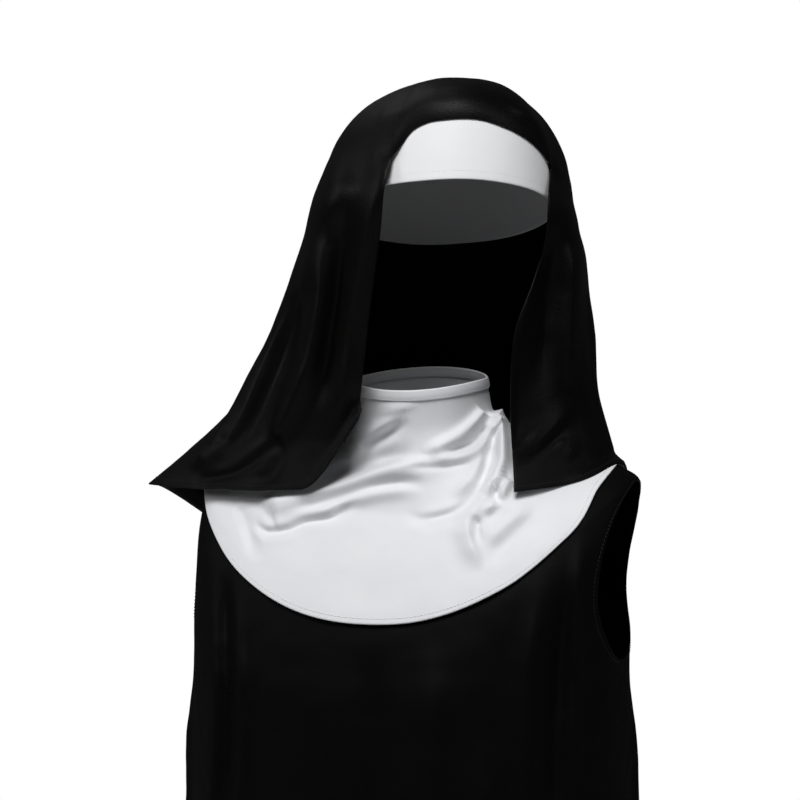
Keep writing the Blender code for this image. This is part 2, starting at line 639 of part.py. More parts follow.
def build():
    for obj in list(bpy.data.objects):
        bpy.data.objects.remove(obj)
    collection = bpy.data.collections.new("nun habit")
    bpy.context.scene.collection.children.link(collection)
    front = tunic_panel("tunic_front", math.pi, ARMHOLE_FRONT, -GAP / 2, collection)
    back = tunic_panel("tunic_back", 0.0, ARMHOLE_BACK, GAP / 2, collection)
    bib = collar((front, back), collection)
    collar_binding(collection)
    band = headband(collection)
    veil((front, back, bib, band), collection)


build()
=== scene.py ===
# %% [markdown]
# # A worn nun's habit
# The object is a set of cloth pieces in the pose of being worn: a black veil sewn to a white
# headband, a white stretch-knit collar that flares into a round bib, and a black sleeveless
# tunic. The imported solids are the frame: they say where each piece lies and how big it is.
# Here each solid is replaced by a thin, finely folded sheet on the same form.
# %% Load the frame
import math
from collections import namedtuple

import bpy
import numpy as np
from mathutils import Matrix, Vector, noise
from mathutils.bvhtree import BVHTree


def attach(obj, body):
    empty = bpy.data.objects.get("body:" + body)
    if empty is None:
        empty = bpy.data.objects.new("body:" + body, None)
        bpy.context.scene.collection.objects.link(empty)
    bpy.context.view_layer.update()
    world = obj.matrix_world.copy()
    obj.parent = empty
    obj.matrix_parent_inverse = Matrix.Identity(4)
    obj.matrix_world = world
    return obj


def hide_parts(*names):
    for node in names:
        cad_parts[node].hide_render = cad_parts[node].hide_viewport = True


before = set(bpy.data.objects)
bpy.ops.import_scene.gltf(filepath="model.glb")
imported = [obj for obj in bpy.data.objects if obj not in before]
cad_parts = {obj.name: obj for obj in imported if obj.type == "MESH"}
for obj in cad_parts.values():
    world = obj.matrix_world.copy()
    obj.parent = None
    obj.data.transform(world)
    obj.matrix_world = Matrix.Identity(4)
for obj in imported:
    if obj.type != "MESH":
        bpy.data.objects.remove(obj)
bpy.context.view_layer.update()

# %% [markdown]
# ## The camera
# Folds are placed where they are seen, so the camera comes first. It stands 18 degrees round
# to the wearer's left and 3 degrees up. Its long lens keeps the shoulders from bulging.
# %% Camera
VIEW_TURN = 18.0
VIEW_RISE = math.radians(3.0)
VIEW_DISTANCE = 2.0
AIM_ACROSS = -0.0203
AIM_UP = 0.0399
LENS = 124.2


def add_object(name, data):
    """A new object in the scene."""
    new = bpy.data.objects.new(name, data)
    bpy.context.scene.collection.objects.link(new)
    return new


def camera_axes(turn):
    """Eye, picture right, picture up and looking direction of a camera turned round the habit."""
    turn = math.radians(turn)
    across = np.array([math.cos(turn), math.sin(turn), 0.0])
    back = np.array([-math.sin(turn), math.cos(turn), 0.0])
    look = back * math.cos(VIEW_RISE) - np.array([0.0, 0.0, math.sin(VIEW_RISE)])
    up = back * math.sin(VIEW_RISE) + np.array([0.0, 0.0, math.cos(VIEW_RISE)])
    aim = across * AIM_ACROSS + np.array([0.0, 0.0, AIM_UP])
    return aim - look * VIEW_DISTANCE, across, up, look


eye, across, up, look = camera_axes(VIEW_TURN)
camera = add_object("camera", bpy.data.cameras.new("camera"))
camera.matrix_world = Matrix(
    [
        [across[0], up[0], -look[0], eye[0]],
        [across[1], up[1], -look[1], eye[1]],
        [across[2], up[2], -look[2], eye[2]],
        [0.0, 0.0, 0.0, 1.0],
    ]
)
camera.data.lens = LENS
camera.data.clip_end = 60.0
bpy.context.scene.camera = camera
print("camera at", eye.round(3))

# %% [markdown]
# ## Smooth curves from short tables
# A garment is drafted from a few measured rings. A curve that goes through the measured values
# and never overshoots them turns a row of numbers into a smooth outline.
# %% Curves
def ease(x):
    """0 below 0, 1 above 1, and a soft step between."""
    x = np.clip(x, 0.0, 1.0)
    return x * x * (3.0 - 2.0 * x)


def through(stations, values, at):
    """A smooth curve through values at stations, read at points."""
    stations = np.asarray(stations, float)
    values = np.asarray(values, float)
    step = np.diff(stations)
    slope = np.diff(values) / step
    tangent = np.zeros_like(values)
    tangent[0], tangent[-1] = slope[0], slope[-1]
    before, after = slope[:-1], slope[1:]
    same_way = before * after > 0
    total = np.where(same_way, before + after, 1.0)
    tangent[1:-1] = np.where(same_way, 2.0 * before * after / total, 0.0)
    at = np.clip(np.asarray(at, float), stations[0], stations[-1])
    k = np.clip(np.searchsorted(stations, at, side="right") - 1, 0, len(step) - 1)
    h = step[k]
    t = (at - stations[k]) / h
    return (
        values[k] * (1 + 2 * t) * (1 - t) ** 2
        + tangent[k] * h * t * (1 - t) ** 2
        + values[k + 1] * t * t * (3 - 2 * t)
        + tangent[k + 1] * h * t * t * (t - 1)
    )


def column(table, name):
    return [getattr(row, name) for row in table]


def normals_of(points):
    """Unit normals of a grid of points, rows by columns, pointing out of the garment."""
    normal = np.cross(np.gradient(points, axis=0), np.gradient(points, axis=1))
    return normal / np.maximum(np.linalg.norm(normal, axis=-1, keepdims=True), 1e-12)


print("halfway on an even curve:", float(through([0, 1, 2], [0.0, 0.5, 1.0], 1.0)))

# %% [markdown]
# ## Creases placed one by one
# Cloth folds where it is held, pulled or piled up. A simulation would give other folds each
# time, so each crease here is a bent line in the picture plane of one view, with its own
# height, and a width on each side. Several of them add up to rolls, valleys and tucks. A small
# unevenness goes over all of it, because no cloth is as regular as a formula.
# %% Creases
MM = 0.001
CREASE_STEPS = 40
CREASE_REACH = 2.6
CREASE_FAR = 0.02
SIDE_BLEND = 0.35
SETTLING_ROUNDS = 4
Crease = namedtuple("Crease", "name turn out left right fade_in fade_out path")


def seen_from(points, turn):
    """Where the camera of a turn sees points: across and up at the neck, and depth behind it."""
    eye, across, up, look = camera_axes(turn)
    away = points - eye
    far = away @ look
    scale = VIEW_DISTANCE / far
    return (away @ across) * scale + AIM_ACROSS, (away @ up) * scale + AIM_UP, far - VIEW_DISTANCE


def bent_line(crease):
    """The crease's line, smooth through the places of its path, in even steps."""
    path = np.array(crease.path) * MM
    run = np.concatenate([[0.0], np.cumsum(np.hypot(*np.diff(path, axis=0).T))])
    at = np.linspace(0.0, run[-1], CREASE_STEPS + 1)
    return through(run, path[:, 0], at), through(run, path[:, 1], at)


def crease_height(points, creases):
    """The sum of all creases at each point."""
    total = np.zeros(points.shape[:-1])
    views = {turn: seen_from(points, turn) for turn in {crease.turn for crease in creases}}
    for crease in creases:
        x, z, depth = views[crease.turn]
        line_x, line_z = bent_line(crease)
        left, right = crease.left * MM, crease.right * MM
        reach = CREASE_REACH * max(left, right)
        near = (
            (x > line_x.min() - reach)
            & (x < line_x.max() + reach)
            & (z > line_z.min() - reach)
            & (z < line_z.max() + reach)
            & (depth < CREASE_FAR)
        )
        x, z, depth = x[near], z[near], depth[near]
        nearest = np.full(x.shape, np.inf)
        side = np.zeros(x.shape)
        along = np.zeros(x.shape)
        for k in range(CREASE_STEPS):
            run_x, run_z = line_x[k + 1] - line_x[k], line_z[k + 1] - line_z[k]
            off_x, off_z = x - line_x[k], z - line_z[k]
            part = np.clip((off_x * run_x + off_z * run_z) / (run_x**2 + run_z**2), 0.0, 1.0)
            off_x, off_z = off_x - part * run_x, off_z - part * run_z
            distance = np.hypot(off_x, off_z)
            nearer = distance < nearest
            nearest = np.where(nearer, distance, nearest)
            side = np.where(nearer, (run_x * off_z - run_z * off_x) / np.hypot(run_x, run_z), side)
            along = np.where(nearer, (k + part) / CREASE_STEPS, along)
        blend = 0.5 + 0.5 * np.clip(side / (SIDE_BLEND * (left + right)), -1.0, 1.0)
        width = right + (left - right) * blend
        taper = np.ones(x.shape)
        if crease.fade_in:
            taper *= ease(along / crease.fade_in)
        if crease.fade_out:
            taper *= ease((1 - along) / crease.fade_out)
        shape = np.exp(-((nearest / width) ** 2))
        total[near] += crease.out * MM * shape * taper * ease(0.5 * (1.0 - depth / CREASE_FAR))
    return total


Hills = namedtuple("Hills", "size height seed")


def unevenness(points, *kinds):
    """Soft random hills, of one or more kinds."""
    total = np.zeros(points.shape[:-1])
    for kind in kinds:
        shift = Vector((kind.seed, 0.0, -kind.seed))
        hills = [noise.noise(Vector(p) + shift) for p in points.reshape(-1, 3) / kind.size]
        total += kind.height * np.array(hills).reshape(total.shape)
    return total


Wave = namedtuple("Wave", "height times shift")


def waves(angle, table):
    """The sum of some slow waves round a ring."""
    return sum(wave.height * np.sin(wave.times * angle + wave.shift) for wave in table)


# %% [markdown]
# ## From a grid of points to cloth
# Each piece starts as a grid of points, rows from top to bottom and columns around. It is laid
# over what is under it by looking along each normal for the cloth below. A free edge gets a
# turned hem: the sheet bends round the edge and comes back a little way on the inside, which
# gives the edge its real thickness without a second layer everywhere.
# %% Cloth grids
HEM_ROUND = 0.0007
HEM_STEPS = 3
HEM_TURN = (0.9, 2.7)
GRAZING = 0.2


def tree_of(*pieces):
    """One search tree of finished pieces."""
    points, faces = [], []
    for piece in pieces:
        mesh = piece.data
        start = len(points)
        co = np.empty(len(mesh.vertices) * 3)
        mesh.vertices.foreach_get("co", co)
        points += [Vector(p) for p in co.reshape(-1, 3)]
        faces += [[start + i for i in face.vertices] for face in mesh.polygons]
    return BVHTree.FromPolygons(points, faces)


def blurred(field, cells, rounds=1):
    """A running mean over a grid along both ways, its border repeated."""
    for _ in range(rounds):
        for axis in (0, 1):
            room = [(0, 0)] * field.ndim
            room[axis] = (cells + 1, cells)
            total = np.cumsum(np.pad(field, room, mode="edge"), axis=axis)
            count = field.shape[axis]
            ahead = np.take(total, range(2 * cells + 1, 2 * cells + 1 + count), axis=axis)
            behind = np.take(total, range(count), axis=axis)
            field = (ahead - behind) / (2 * cells + 1)
    return field


def spread(field, cells):
    """Widens a field by some cells, then rounds it off."""
    best = field
    for axis in (0, 1):
        room = [(0, 0), (0, 0)]
        room[axis] = (cells, cells)
        wide = np.pad(best, room, mode="edge")
        count = field.shape[axis]
        shifts = range(2 * cells + 1)
        best = np.max([np.take(wide, range(k, k + count), axis=axis) for k in shifts], axis=0)
    return blurred(best, cells)


def lay_over(points, tree, gap, centre=None, reach=0.020, most=0.006, cells=3, rounds=3):
    """Moves points out, each along one steady direction, until they clear the cloth below."""
    points = points.copy()
    out = normals_of(blurred(points, 4, 3))
    if centre is not None:
        out = points - centre
        out /= np.linalg.norm(out, axis=-1, keepdims=True)
    for _ in range(rounds):
        need = np.zeros(points.shape[:2])
        for i, j in np.ndindex(need.shape):
            way = Vector(out[i, j])
            start = Vector(points[i, j]) + way * reach
            _, normal, _, hit = tree.ray_cast(start, -way, 2 * reach)
            if hit is not None and abs(normal.dot(way)) > GRAZING:
                need[i, j] = min(max(reach - hit + gap, 0.0), most)
        if need.max() < 1e-5:
            break
        points += out * spread(need, cells)[..., None]
    return points


def raised(points, height):
    """Points moved out by a height along the cloth's general direction."""
    return points + normals_of(blurred(points, 3, 2)) * height[..., None]


def creased(points, creases, factor=1.0):
    """Points moved out so that each crease ends up where it is seen."""
    height = crease_height(points, creases) * factor
    for _ in range(SETTLING_ROUNDS):
        height = 0.5 * height + 0.5 * crease_height(raised(points, height), creases) * factor
    return raised(points, height)


def turn_hem(points, inside, depth_rows):
    """Rows that bend round the last row of a grid and go back up on the inside."""
    out = inside[-1]
    way = points[-1] - points[-2]
    way = way / np.maximum(np.linalg.norm(way, axis=-1, keepdims=True), 1e-12)
    rows = []
    for turned in np.linspace(*HEM_TURN, HEM_STEPS):
        rows.append(
            points[-1]
            + way * HEM_ROUND * math.sin(turned)
            - out * HEM_ROUND * (1 - math.cos(turned))
        )
    for k in range(1, depth_rows + 1):
        rows.append(points[-1 - k] - inside[-1 - k] * 2 * HEM_ROUND)
    return np.array(rows)


def hemmed(points, bottom, sides=0):
    """A grid with turned hems of some rows at its bottom and some columns at its sides."""
    out = normals_of(points)
    points = np.concatenate([points, turn_hem(points, out, bottom)])
    if sides:
        out = normals_of(points)
        out[-bottom - HEM_STEPS :] = out[-bottom - HEM_STEPS - 1]
        sideways, out = points.transpose(1, 0, 2), out.transpose(1, 0, 2)
        right = turn_hem(sideways, out, sides)
        left = turn_hem(sideways[::-1], out[::-1], sides)
        points = np.concatenate([left[::-1], sideways, right]).transpose(1, 0, 2)
    return points


def lengths_along(points, axis):
    """How far along the cloth each point lies, in metres."""
    step = np.linalg.norm(np.diff(points, axis=axis), axis=-1)
    zero = np.zeros_like(np.take(step, [0], axis=axis))
    return np.concatenate([zero, np.cumsum(step, axis=axis)], axis=axis)


def cloth_piece(name, points, faces, uv, material):
    """A smooth mesh of the points in use, with a UV map in metres of cloth."""
    used = np.unique([k for f in faces for k in f])
    new_number = np.zeros(len(points), dtype=int)
    new_number[used] = np.arange(len(used))
    points, uv = np.asarray(points)[used], uv[used]
    faces = [[int(new_number[k]) for k in f] for f in faces]
    mesh = bpy.data.meshes.new(name)
    mesh.from_pydata(points.tolist(), [], faces)
    layer = mesh.uv_layers.new(name="cloth")
    corner = np.empty(len(mesh.loops), dtype=np.int32)
    mesh.loops.foreach_get("vertex_index", corner)
    layer.data.foreach_set("uv", uv[corner].ravel())
    mesh.materials.append(material)
    mesh.shade_smooth()
    print(name, "triangles", sum(len(face) - 2 for face in faces))
    return add_object(name, mesh)


def patch_faces(index):
    """Quads over a grid of point numbers, facing out."""
    corners = [index[:-1, :-1], index[1:, :-1], index[1:, 1:], index[:-1, 1:]]
    return np.stack(corners, axis=-1).reshape(-1, 4).tolist()


def numbers_of(points):
    """The number of each point of a grid, counted row by row."""
    return np.arange(points.shape[0] * points.shape[1]).reshape(points.shape[:2])


def centred_uv(points):
    """The place of each point on the flat cloth, across from the middle and down from the top."""
    around = lengths_along(points, 1)
    around = around - around.mean(axis=1, keepdims=True)
    return np.stack([around, -lengths_along(points, 0)], axis=-1).reshape(-1, 2)


def grid_piece(name, points, material, closed=False):
    """A piece from one grid; a closed one joins its last column to its first."""
    index = numbers_of(points)
    if closed:
        index = np.concatenate([index, index[:, :1]], axis=1)
    faces = patch_faces(index)
    return cloth_piece(name, points.reshape(-1, 3), faces, centred_uv(points), material)


# %% [markdown]
# ## Materials
# The cloths are told apart by their surface. The veil is a satin-faced jersey: almost black,
# with a soft broken sheen and a fine grain. The tunic is a duller woven cloth. The collar is a
# smooth stretch knit with fine ribs along its length, and the band a denser doubled knit. One
# shared node group makes the grain, so each material only sets its own sizes.
# %% Shared cloth grain
def new_group(name, kind, inputs, outputs):
    """A node group with its first and last node; inputs are (name, kind, value or none)."""
    group = bpy.data.node_groups.new(name, kind)
    for label, sort, value in inputs:
        socket = group.interface.new_socket(
            label, in_out="INPUT", socket_type="NodeSocket" + sort
        )
        if value is not None:
            socket.default_value = value
    for label, sort in outputs:
        group.interface.new_socket(label, in_out="OUTPUT", socket_type="NodeSocket" + sort)
    return group, group.nodes.new("NodeGroupInput"), group.nodes.new("NodeGroupOutput")


def feed(tree, node, inputs):
    """Gives each named or numbered input its value, or links it to another node's output."""
    for label, value in inputs.items():
        if isinstance(value, bpy.types.NodeSocket):
            tree.links.new(value, node.inputs[label])
        else:
            node.inputs[label].default_value = value


def add_node(tree, kind, inputs=None, **settings):
    """A new node with its settings and its inputs."""
    node = tree.nodes.new(kind)
    for name, value in settings.items():
        setattr(node, name, value)
    feed(tree, node, inputs or {})
    return node


GRAIN_SIZES = {
    "Threads": 900.0, "Rib Share": 0.5, "Fuzz Scale": 500.0, "Fuzz": 0.5, "Patch Scale": 18.0
}
WOVEN_SHARE = 0.25


def cloth_grain():
    """Threads that cross, broken by noise: a height for the bump and a mask for the colour."""
    group, given, result = new_group(
        "cloth grain",
        "ShaderNodeTree",
        [(label, "Float", value) for label, value in GRAIN_SIZES.items()],
        [("Height", "Float"), ("Patches", "Float")],
    )
    size = given.outputs

    def calculate(operation, first, second=0.0):
        both = {0: first, 1: second}
        return add_node(group, "ShaderNodeMath", both, operation=operation).outputs[0]

    place = add_node(group, "ShaderNodeUVMap", uv_map="cloth")
    split = add_node(group, "ShaderNodeSeparateXYZ", {0: place.outputs["UV"]})
    ribs, rows = [
        calculate("SINE", calculate("MULTIPLY", split.outputs[k], size["Threads"])) for k in (0, 1)
    ]
    cross = calculate("MULTIPLY", ribs, rows)
    plain = calculate("MULTIPLY", cross, calculate("SUBTRACT", 1.0, size["Rib Share"]))
    woven = calculate("ADD", plain, calculate("MULTIPLY", ribs, size["Rib Share"]))
    solid = add_node(group, "ShaderNodeTexCoord").outputs["Object"]
    fuzz, patch = [
        add_node(
            group, "ShaderNodeTexNoise", {"Vector": solid, "Scale": size[label], "Detail": detail}
        ).outputs[0]
        for label, detail in (("Fuzz Scale", 3.0), ("Patch Scale", 2.0))
    ]
    fuzzy = calculate("MULTIPLY", fuzz, size["Fuzz"])
    height = calculate("ADD", calculate("MULTIPLY", woven, WOVEN_SHARE), fuzzy)
    feed(group, result, {"Height": height, "Patches": patch})
    return group


GRAIN = cloth_grain()

Finish = namedtuple(
    "Finish",
    "name dark light rough_low rough_high specular sheen sheen_rough "
    "threads rib_share fuzz_scale fuzz patch_scale bump",
)
FINISHES = [
    Finish("black_veil_jersey", (0.0010, 0.0010, 0.0009), (0.0021, 0.0019, 0.0017), 0.37, 0.45,
           0.12, 0.002, 0.45, 5200.0, 0.5, 520.0, 1.0, 22.0, 0.00022),
    Finish("black_tunic_weave", (0.0012, 0.0012, 0.0013), (0.0022, 0.0022, 0.0022), 0.52, 0.64,
           0.07, 0.002, 0.55, 4200.0, 0.1, 600.0, 0.9, 16.0, 0.00012),
    Finish("white_collar_knit", (0.80, 0.81, 0.84), (0.86, 0.865, 0.88), 0.50, 0.60,
           0.35, 0.10, 0.40, 4500.0, 0.8, 900.0, 0.5, 30.0, 0.00006),
    Finish("white_band_knit", (0.90, 0.905, 0.92), (0.94, 0.945, 0.955), 0.55, 0.64,
           0.30, 0.10, 0.40, 5200.0, 0.5, 900.0, 0.5, 40.0, 0.00005),
    Finish("black_thread", (0.008, 0.008, 0.008), (0.014, 0.014, 0.014), 0.50, 0.60,
           0.35, 0.05, 0.50, 9000.0, 0.5, 2000.0, 0.5, 60.0, 0.00003),
    Finish("white_thread", (0.80, 0.81, 0.83), (0.86, 0.865, 0.875), 0.50, 0.60,
           0.35, 0.05, 0.50, 9000.0, 0.5, 2000.0, 0.5, 60.0, 0.00003),
]


def cloth_material(finish):
    """One cloth: colour and gloss vary in soft patches, and the grain gives the bump."""
    material = bpy.data.materials.new(finish.name)
    material.use_nodes = True
    tree = material.node_tree
    sizes = {label: getattr(finish, label.lower().replace(" ", "_")) for label in GRAIN_SIZES}
    grain = add_node(tree, "ShaderNodeGroup", node_tree=GRAIN)
    feed(tree, grain, sizes)
    patches = grain.outputs["Patches"]
    colours = {0: patches, 6: (*finish.dark, 1.0), 7: (*finish.light, 1.0)}
    colour = add_node(tree, "ShaderNodeMix", colours, data_type="RGBA")
    glosses = {"Value": patches, "From Min": 0.3, "From Max": 0.7}
    glosses.update({"To Min": finish.rough_high, "To Max": finish.rough_low})
    gloss = add_node(tree, "ShaderNodeMapRange", glosses)
    grain_height = {"Height": grain.outputs["Height"], "Distance": finish.bump, "Strength": 1.0}
    bump = add_node(tree, "ShaderNodeBump", grain_height)
    surface = {
        "Base Color": colour.outputs[2],
        "Roughness": gloss.outputs["Result"],
        "Normal": bump.outputs["Normal"],
        "Specular IOR Level": finish.specular,
        "Sheen Weight": finish.sheen,
        "Sheen Roughness": finish.sheen_rough,
    }
    feed(tree, tree.nodes["Principled BSDF"], surface)
    middle = [0.5 * (a + b) for a, b in zip(finish.dark, finish.light)]
    material.diffuse_color = (*middle, 1.0)
    return material


CLOTH = {finish.name: cloth_material(finish) for finish in FINISHES}
print("materials:", sorted(CLOTH))

# %% [markdown]
# ## The tunic
# A plain A-line tunic is two panels, front and back, joined at the shoulders and the sides. A
# few oval rings from neckline to hem give its form. Between the shoulder and the underarm the
# panels stop short of the side, and that leaves the armholes. Under the arms the cloth falls in
# soft flutes that deepen to the hem. The panels' edges are turned in, as at a real seam.
# %% Tunic sizes
TunicRing = namedtuple(
    "TunicRing", "name centre_x half_width front back squareness z_side z_front z_back"
)
TUNIC_RINGS = [
    TunicRing("neckline", 0.000, 0.092, 0.074, 0.062, 2.1, 0.010, -0.030, 0.004),
    TunicRing("yoke", -0.002, 0.122, 0.090, 0.082, 2.2, 0.001, -0.056, -0.034),
    TunicRing("strap_end", -0.004, 0.158, 0.106, 0.098, 2.3, -0.015, -0.086, -0.074),
    TunicRing("armhole_top", -0.007, 0.161, 0.118, 0.108, 2.35, -0.042, -0.112, -0.106),
    TunicRing("armhole_middle", -0.010, 0.159, 0.124, 0.113, 2.4, -0.088, -0.138, -0.136),
    TunicRing("underarm", -0.012, 0.158, 0.128, 0.114, 2.4, -0.142, -0.168, -0.168),
    TunicRing("ribs", -0.012, 0.160, 0.127, 0.110, 2.3, -0.240, -0.250, -0.250),
    TunicRing("waist", -0.012, 0.166, 0.122, 0.110, 2.2, -0.380, -0.385, -0.385),
    TunicRing("hip", -0.012, 0.196, 0.140, 0.134, 2.1, -0.580, -0.582, -0.582),
    TunicRing("knee", -0.012, 0.238, 0.178, 0.172, 2.1, -0.940, -0.940, -0.940),
    TunicRing("hem", -0.012, 0.280, 0.216, 0.210, 2.1, -1.300, -1.300, -1.300),
]
MIDDLE_SHARPNESS = 1.6
SEAM_GAP = 0.0003
STRAP_END = 2.0
UNDERARM = 5.0
ARMHOLE_FRONT = math.radians(23.0)
ARMHOLE_BACK = math.radians(30.0)
ARMHOLE_ROUNDNESS = 0.5
FLUTES = 13
FLUTE_DEPTH_AT_HEM = 0.016
FLUTE_START = 5.6
FLUTE_SWAY = 0.35
FLUTE_SWAYS = [Wave(0.22, 3, 0.6), Wave(0.16, 5, 2.0)]
FLUTE_MEAN_DEPTH = 0.75
FLUTE_DEPTHS = [Wave(0.25, 2, 1.1)]
TUNIC_HILLS = [Hills(0.045, 0.0012, 1.0), Hills(0.015, 0.0004, 2.0)]
TUNIC_CREASES = [
    Crease("left_outer", 18, 5, 6, 7, 0.2, 0.3, ((-155, -62), (-155, -105), (-154, -178),
        (-157, -250), (-154, -380))),
    Crease("left_inner", 18, 5, 6, 7, 0.2, 0.3, ((-138, -89), (-138, -134), (-136, -207),
        (-139, -293), (-136, -424))),
    Crease("left_dark", 18, -5, 5, 5, 0.2, 0.3, ((-146, -76), (-146, -120), (-144, -192),
        (-146, -286))),
    Crease("middle_dark", 18, -5, 12, 14, 0.2, 0.3, ((-45, -131), (-41, -170), (-36, -236),
        (-38, -322), (-32, -438))),
    Crease("middle", 18, 5, 14, 16, 0.2, 0.3, ((-3, -127), (1, -170), (0, -236), (4, -322),
        (0, -453))),
    Crease("right_light", 18, 6, 8, 9, 0.2, 0.3, ((90, -83), (80, -112), (72, -163), (70, -250),
        (74, -395))),
    Crease("right_dark", 18, -5, 6, 7, 0.2, 0.3, ((104, -91), (97, -127), (93, -192),
        (90, -308))),
    Crease("right_edge", 18, 5, 6, 6, 0.2, 0.3, ((116, -54), (110, -76), (107, -134),
        (106, -250))),
    Crease("waist_left", 18, 6, 14, 12, 0.4, 0.4, ((-100, -221), (-93, -322), (-103, -453))),
    Crease("waist_right", 18, 6, 14, 12, 0.4, 0.4, ((38, -178), (42, -293), (33, -453))),
    Crease("back_one", 198, 6, 12, 14, 0.3, 0.3, ((90, -110), (80, -220), (92, -440))),
    Crease("back_two", 198, -5, 14, 14, 0.3, 0.3, ((30, -130), (34, -260), (24, -460))),
    Crease("back_three", 198, 6, 14, 12, 0.3, 0.3, ((-70, -110), (-62, -220), (-78, -440))),
    Crease("under_arm", 105, 5, 10, 10, 0.3, 0.3, ((-10, -170), (-4, -280), (-14, -460))),
    Crease("under_arm_right", -75, 5, 10, 10, 0.3, 0.3, ((10, -170), (2, -280), (12, -460))),
]


def oval(angle, half_width, front, back, squareness):
    """Plan of a ring; the angle starts at the wearer's left and goes by the back."""
    across, along = np.cos(angle), np.sin(angle)
    power = 2.0 / squareness
    x = half_width * np.sign(across) * np.abs(across) ** power
    y = np.where(along < 0, front, back) * np.sign(along) * np.abs(along) ** power
    return x, y


def on_rings(table, angle, ring):
    """Points between the rings of a table, before their folds."""
    names = table[0]._fields[1:]
    size = {name: through(range(len(table)), column(table, name), ring) for name in names}
    squareness = size.get("squareness", 2.0)
    x, y = oval(angle, size["half_width"], size["front"], size["back"], squareness)
    middle = np.where(np.sin(angle) < 0, size["z_front"], size["z_back"])
    z = size["z_side"] + (middle - size["z_side"]) * np.abs(np.sin(angle)) ** MIDDLE_SHARPNESS
    return np.stack([x + size.get("centre_x", 0.0), y + size.get("centre_y", 0.0), z], axis=-1)


def flutes(angle, ring):
    """How far the skirt's flutes stand out."""
    grown = ease((ring - FLUTE_START) / (len(TUNIC_RINGS) - 1 - FLUTE_START))
    place = angle + FLUTE_SWAY * waves(angle, FLUTE_SWAYS)
    depth = FLUTE_MEAN_DEPTH + waves(angle, FLUTE_DEPTHS)
    wave = 0.5 + 0.5 * np.cos(FLUTES * place)
    return FLUTE_DEPTH_AT_HEM * grown * depth * wave


# %% Tunic panels
TUNIC_OUT = 0.0006
TUNIC_COLUMNS = 230
STRAP_ROWS = 36
ARMHOLE_ROWS = 61
BODY_ROWS = 240
HEM_ROWS = 12
SEAM_COLUMNS = 3


def tunic_grid(start_angle, armhole, shift):
    """Half of the tunic, from one shoulder and side seam to the other."""
    strap = np.linspace(0.0, STRAP_END, STRAP_ROWS + 1)[:-1]
    turned = 0.5 - 0.5 * np.cos(np.linspace(0.0, math.pi, ARMHOLE_ROWS))
    beside = STRAP_END + (UNDERARM - STRAP_END) * turned
    below = np.linspace(UNDERARM, len(TUNIC_RINGS) - 1, BODY_ROWS + 1)[1:]
    rings = np.concatenate([strap, beside, below])
    part = np.clip((rings - STRAP_END) / (UNDERARM - STRAP_END), 0.0, 1.0)
    inset = armhole * np.sin(np.pi * part) ** ARMHOLE_ROUNDNESS
    across = np.linspace(0.0, 1.0, TUNIC_COLUMNS)
    angle = start_angle + inset[:, None] + across * (math.pi - 2 * inset[:, None])
    ring = np.repeat(rings[:, None], TUNIC_COLUMNS, axis=1)
    points = on_rings(TUNIC_RINGS, angle, ring)
    height = TUNIC_OUT + flutes(angle, ring) + unevenness(points, *TUNIC_HILLS)
    points = creased(raised(points, height), TUNIC_CREASES)
    points[..., 1] += shift
    return points


TUNIC_GRIDS = {
    "tunic_front": tunic_grid(math.pi, ARMHOLE_FRONT, -SEAM_GAP / 2),
    "tunic_back": tunic_grid(0.0, ARMHOLE_BACK, SEAM_GAP / 2),
}
tunic_pieces = {
    name: grid_piece(
        name + "_cloth",
        hemmed(grid, HEM_ROWS, SEAM_COLUMNS),
        CLOTH["black_tunic_weave"],
    )
    for name, grid in TUNIC_GRIDS.items()
}

# %% [markdown]
# ## The collar and its binding
# The collar is one tube of stretch knit: it stands round the neck and then flares into a round
# bib that lies on chest, shoulders and back. Where the neck meets the shoulders the spare cloth
# piles up into rolls and one sharp cusp on the wearer's left. Those creases are narrow, so the
# grid has most of its columns in front. A folded strip binds the neck edge.
# %% Collar sizes
CollarRing = namedtuple("CollarRing", "name half_width front back centre_y z_side z_front z_back")
COLLAR_RINGS = [
    CollarRing("neck_edge", 0.048, 0.049, 0.049, -0.020, 0.056, 0.049, 0.062),
    CollarRing("mid_stand", 0.050, 0.051, 0.052, -0.014, 0.034, 0.026, 0.042),
    CollarRing("neck_base", 0.062, 0.062, 0.060, -0.006, 0.021, 0.000, 0.026),
    CollarRing("flare", 0.090, 0.082, 0.078, 0.000, 0.0155, -0.034, 0.004),
]
COLLAR_RISE = 0.0041
BibPoint = namedtuple("BibPoint", "name turn ring")
BIB_EDGE = [
    BibPoint("left_shoulder", 0, 1.42),
    BibPoint("left_back", 25, 1.60),
    BibPoint("left_blade", 50, 2.40),
    BibPoint("back", 90, 2.90),
    BibPoint("right_blade", 130, 2.60),
    BibPoint("right_back", 155, 2.10),
    BibPoint("right_shoulder", 180, 1.93),
    BibPoint("right_front", 205, 2.12),
    BibPoint("right_chest", 235, 2.58),
    BibPoint("front", 270, 2.92),
    BibPoint("left_chest", 300, 2.52),
    BibPoint("left_front", 320, 1.98),
    BibPoint("left_strap", 340, 1.52),
    BibPoint("left_shoulder_again", 360, 1.42),
]
BIB_START = 0.22
BIB_LIFT_UP = 0.6
COLLAR_ROWS_STAND = 70
COLLAR_ROWS_BIB = 90
COLLAR_COLUMNS = 430
SHARE_OF_COLUMNS_BEHIND = 0.30
COLLAR_SMOOTHING = 12
COLLAR_SETTLING_ROWS = 12.0
COLLAR_HEM_ROWS = 8
COLLAR_GAP = 0.0008
COLLAR_HILLS = [Hills(0.030, 0.0006, 3.0), Hills(0.010, 0.0001, 4.0)]
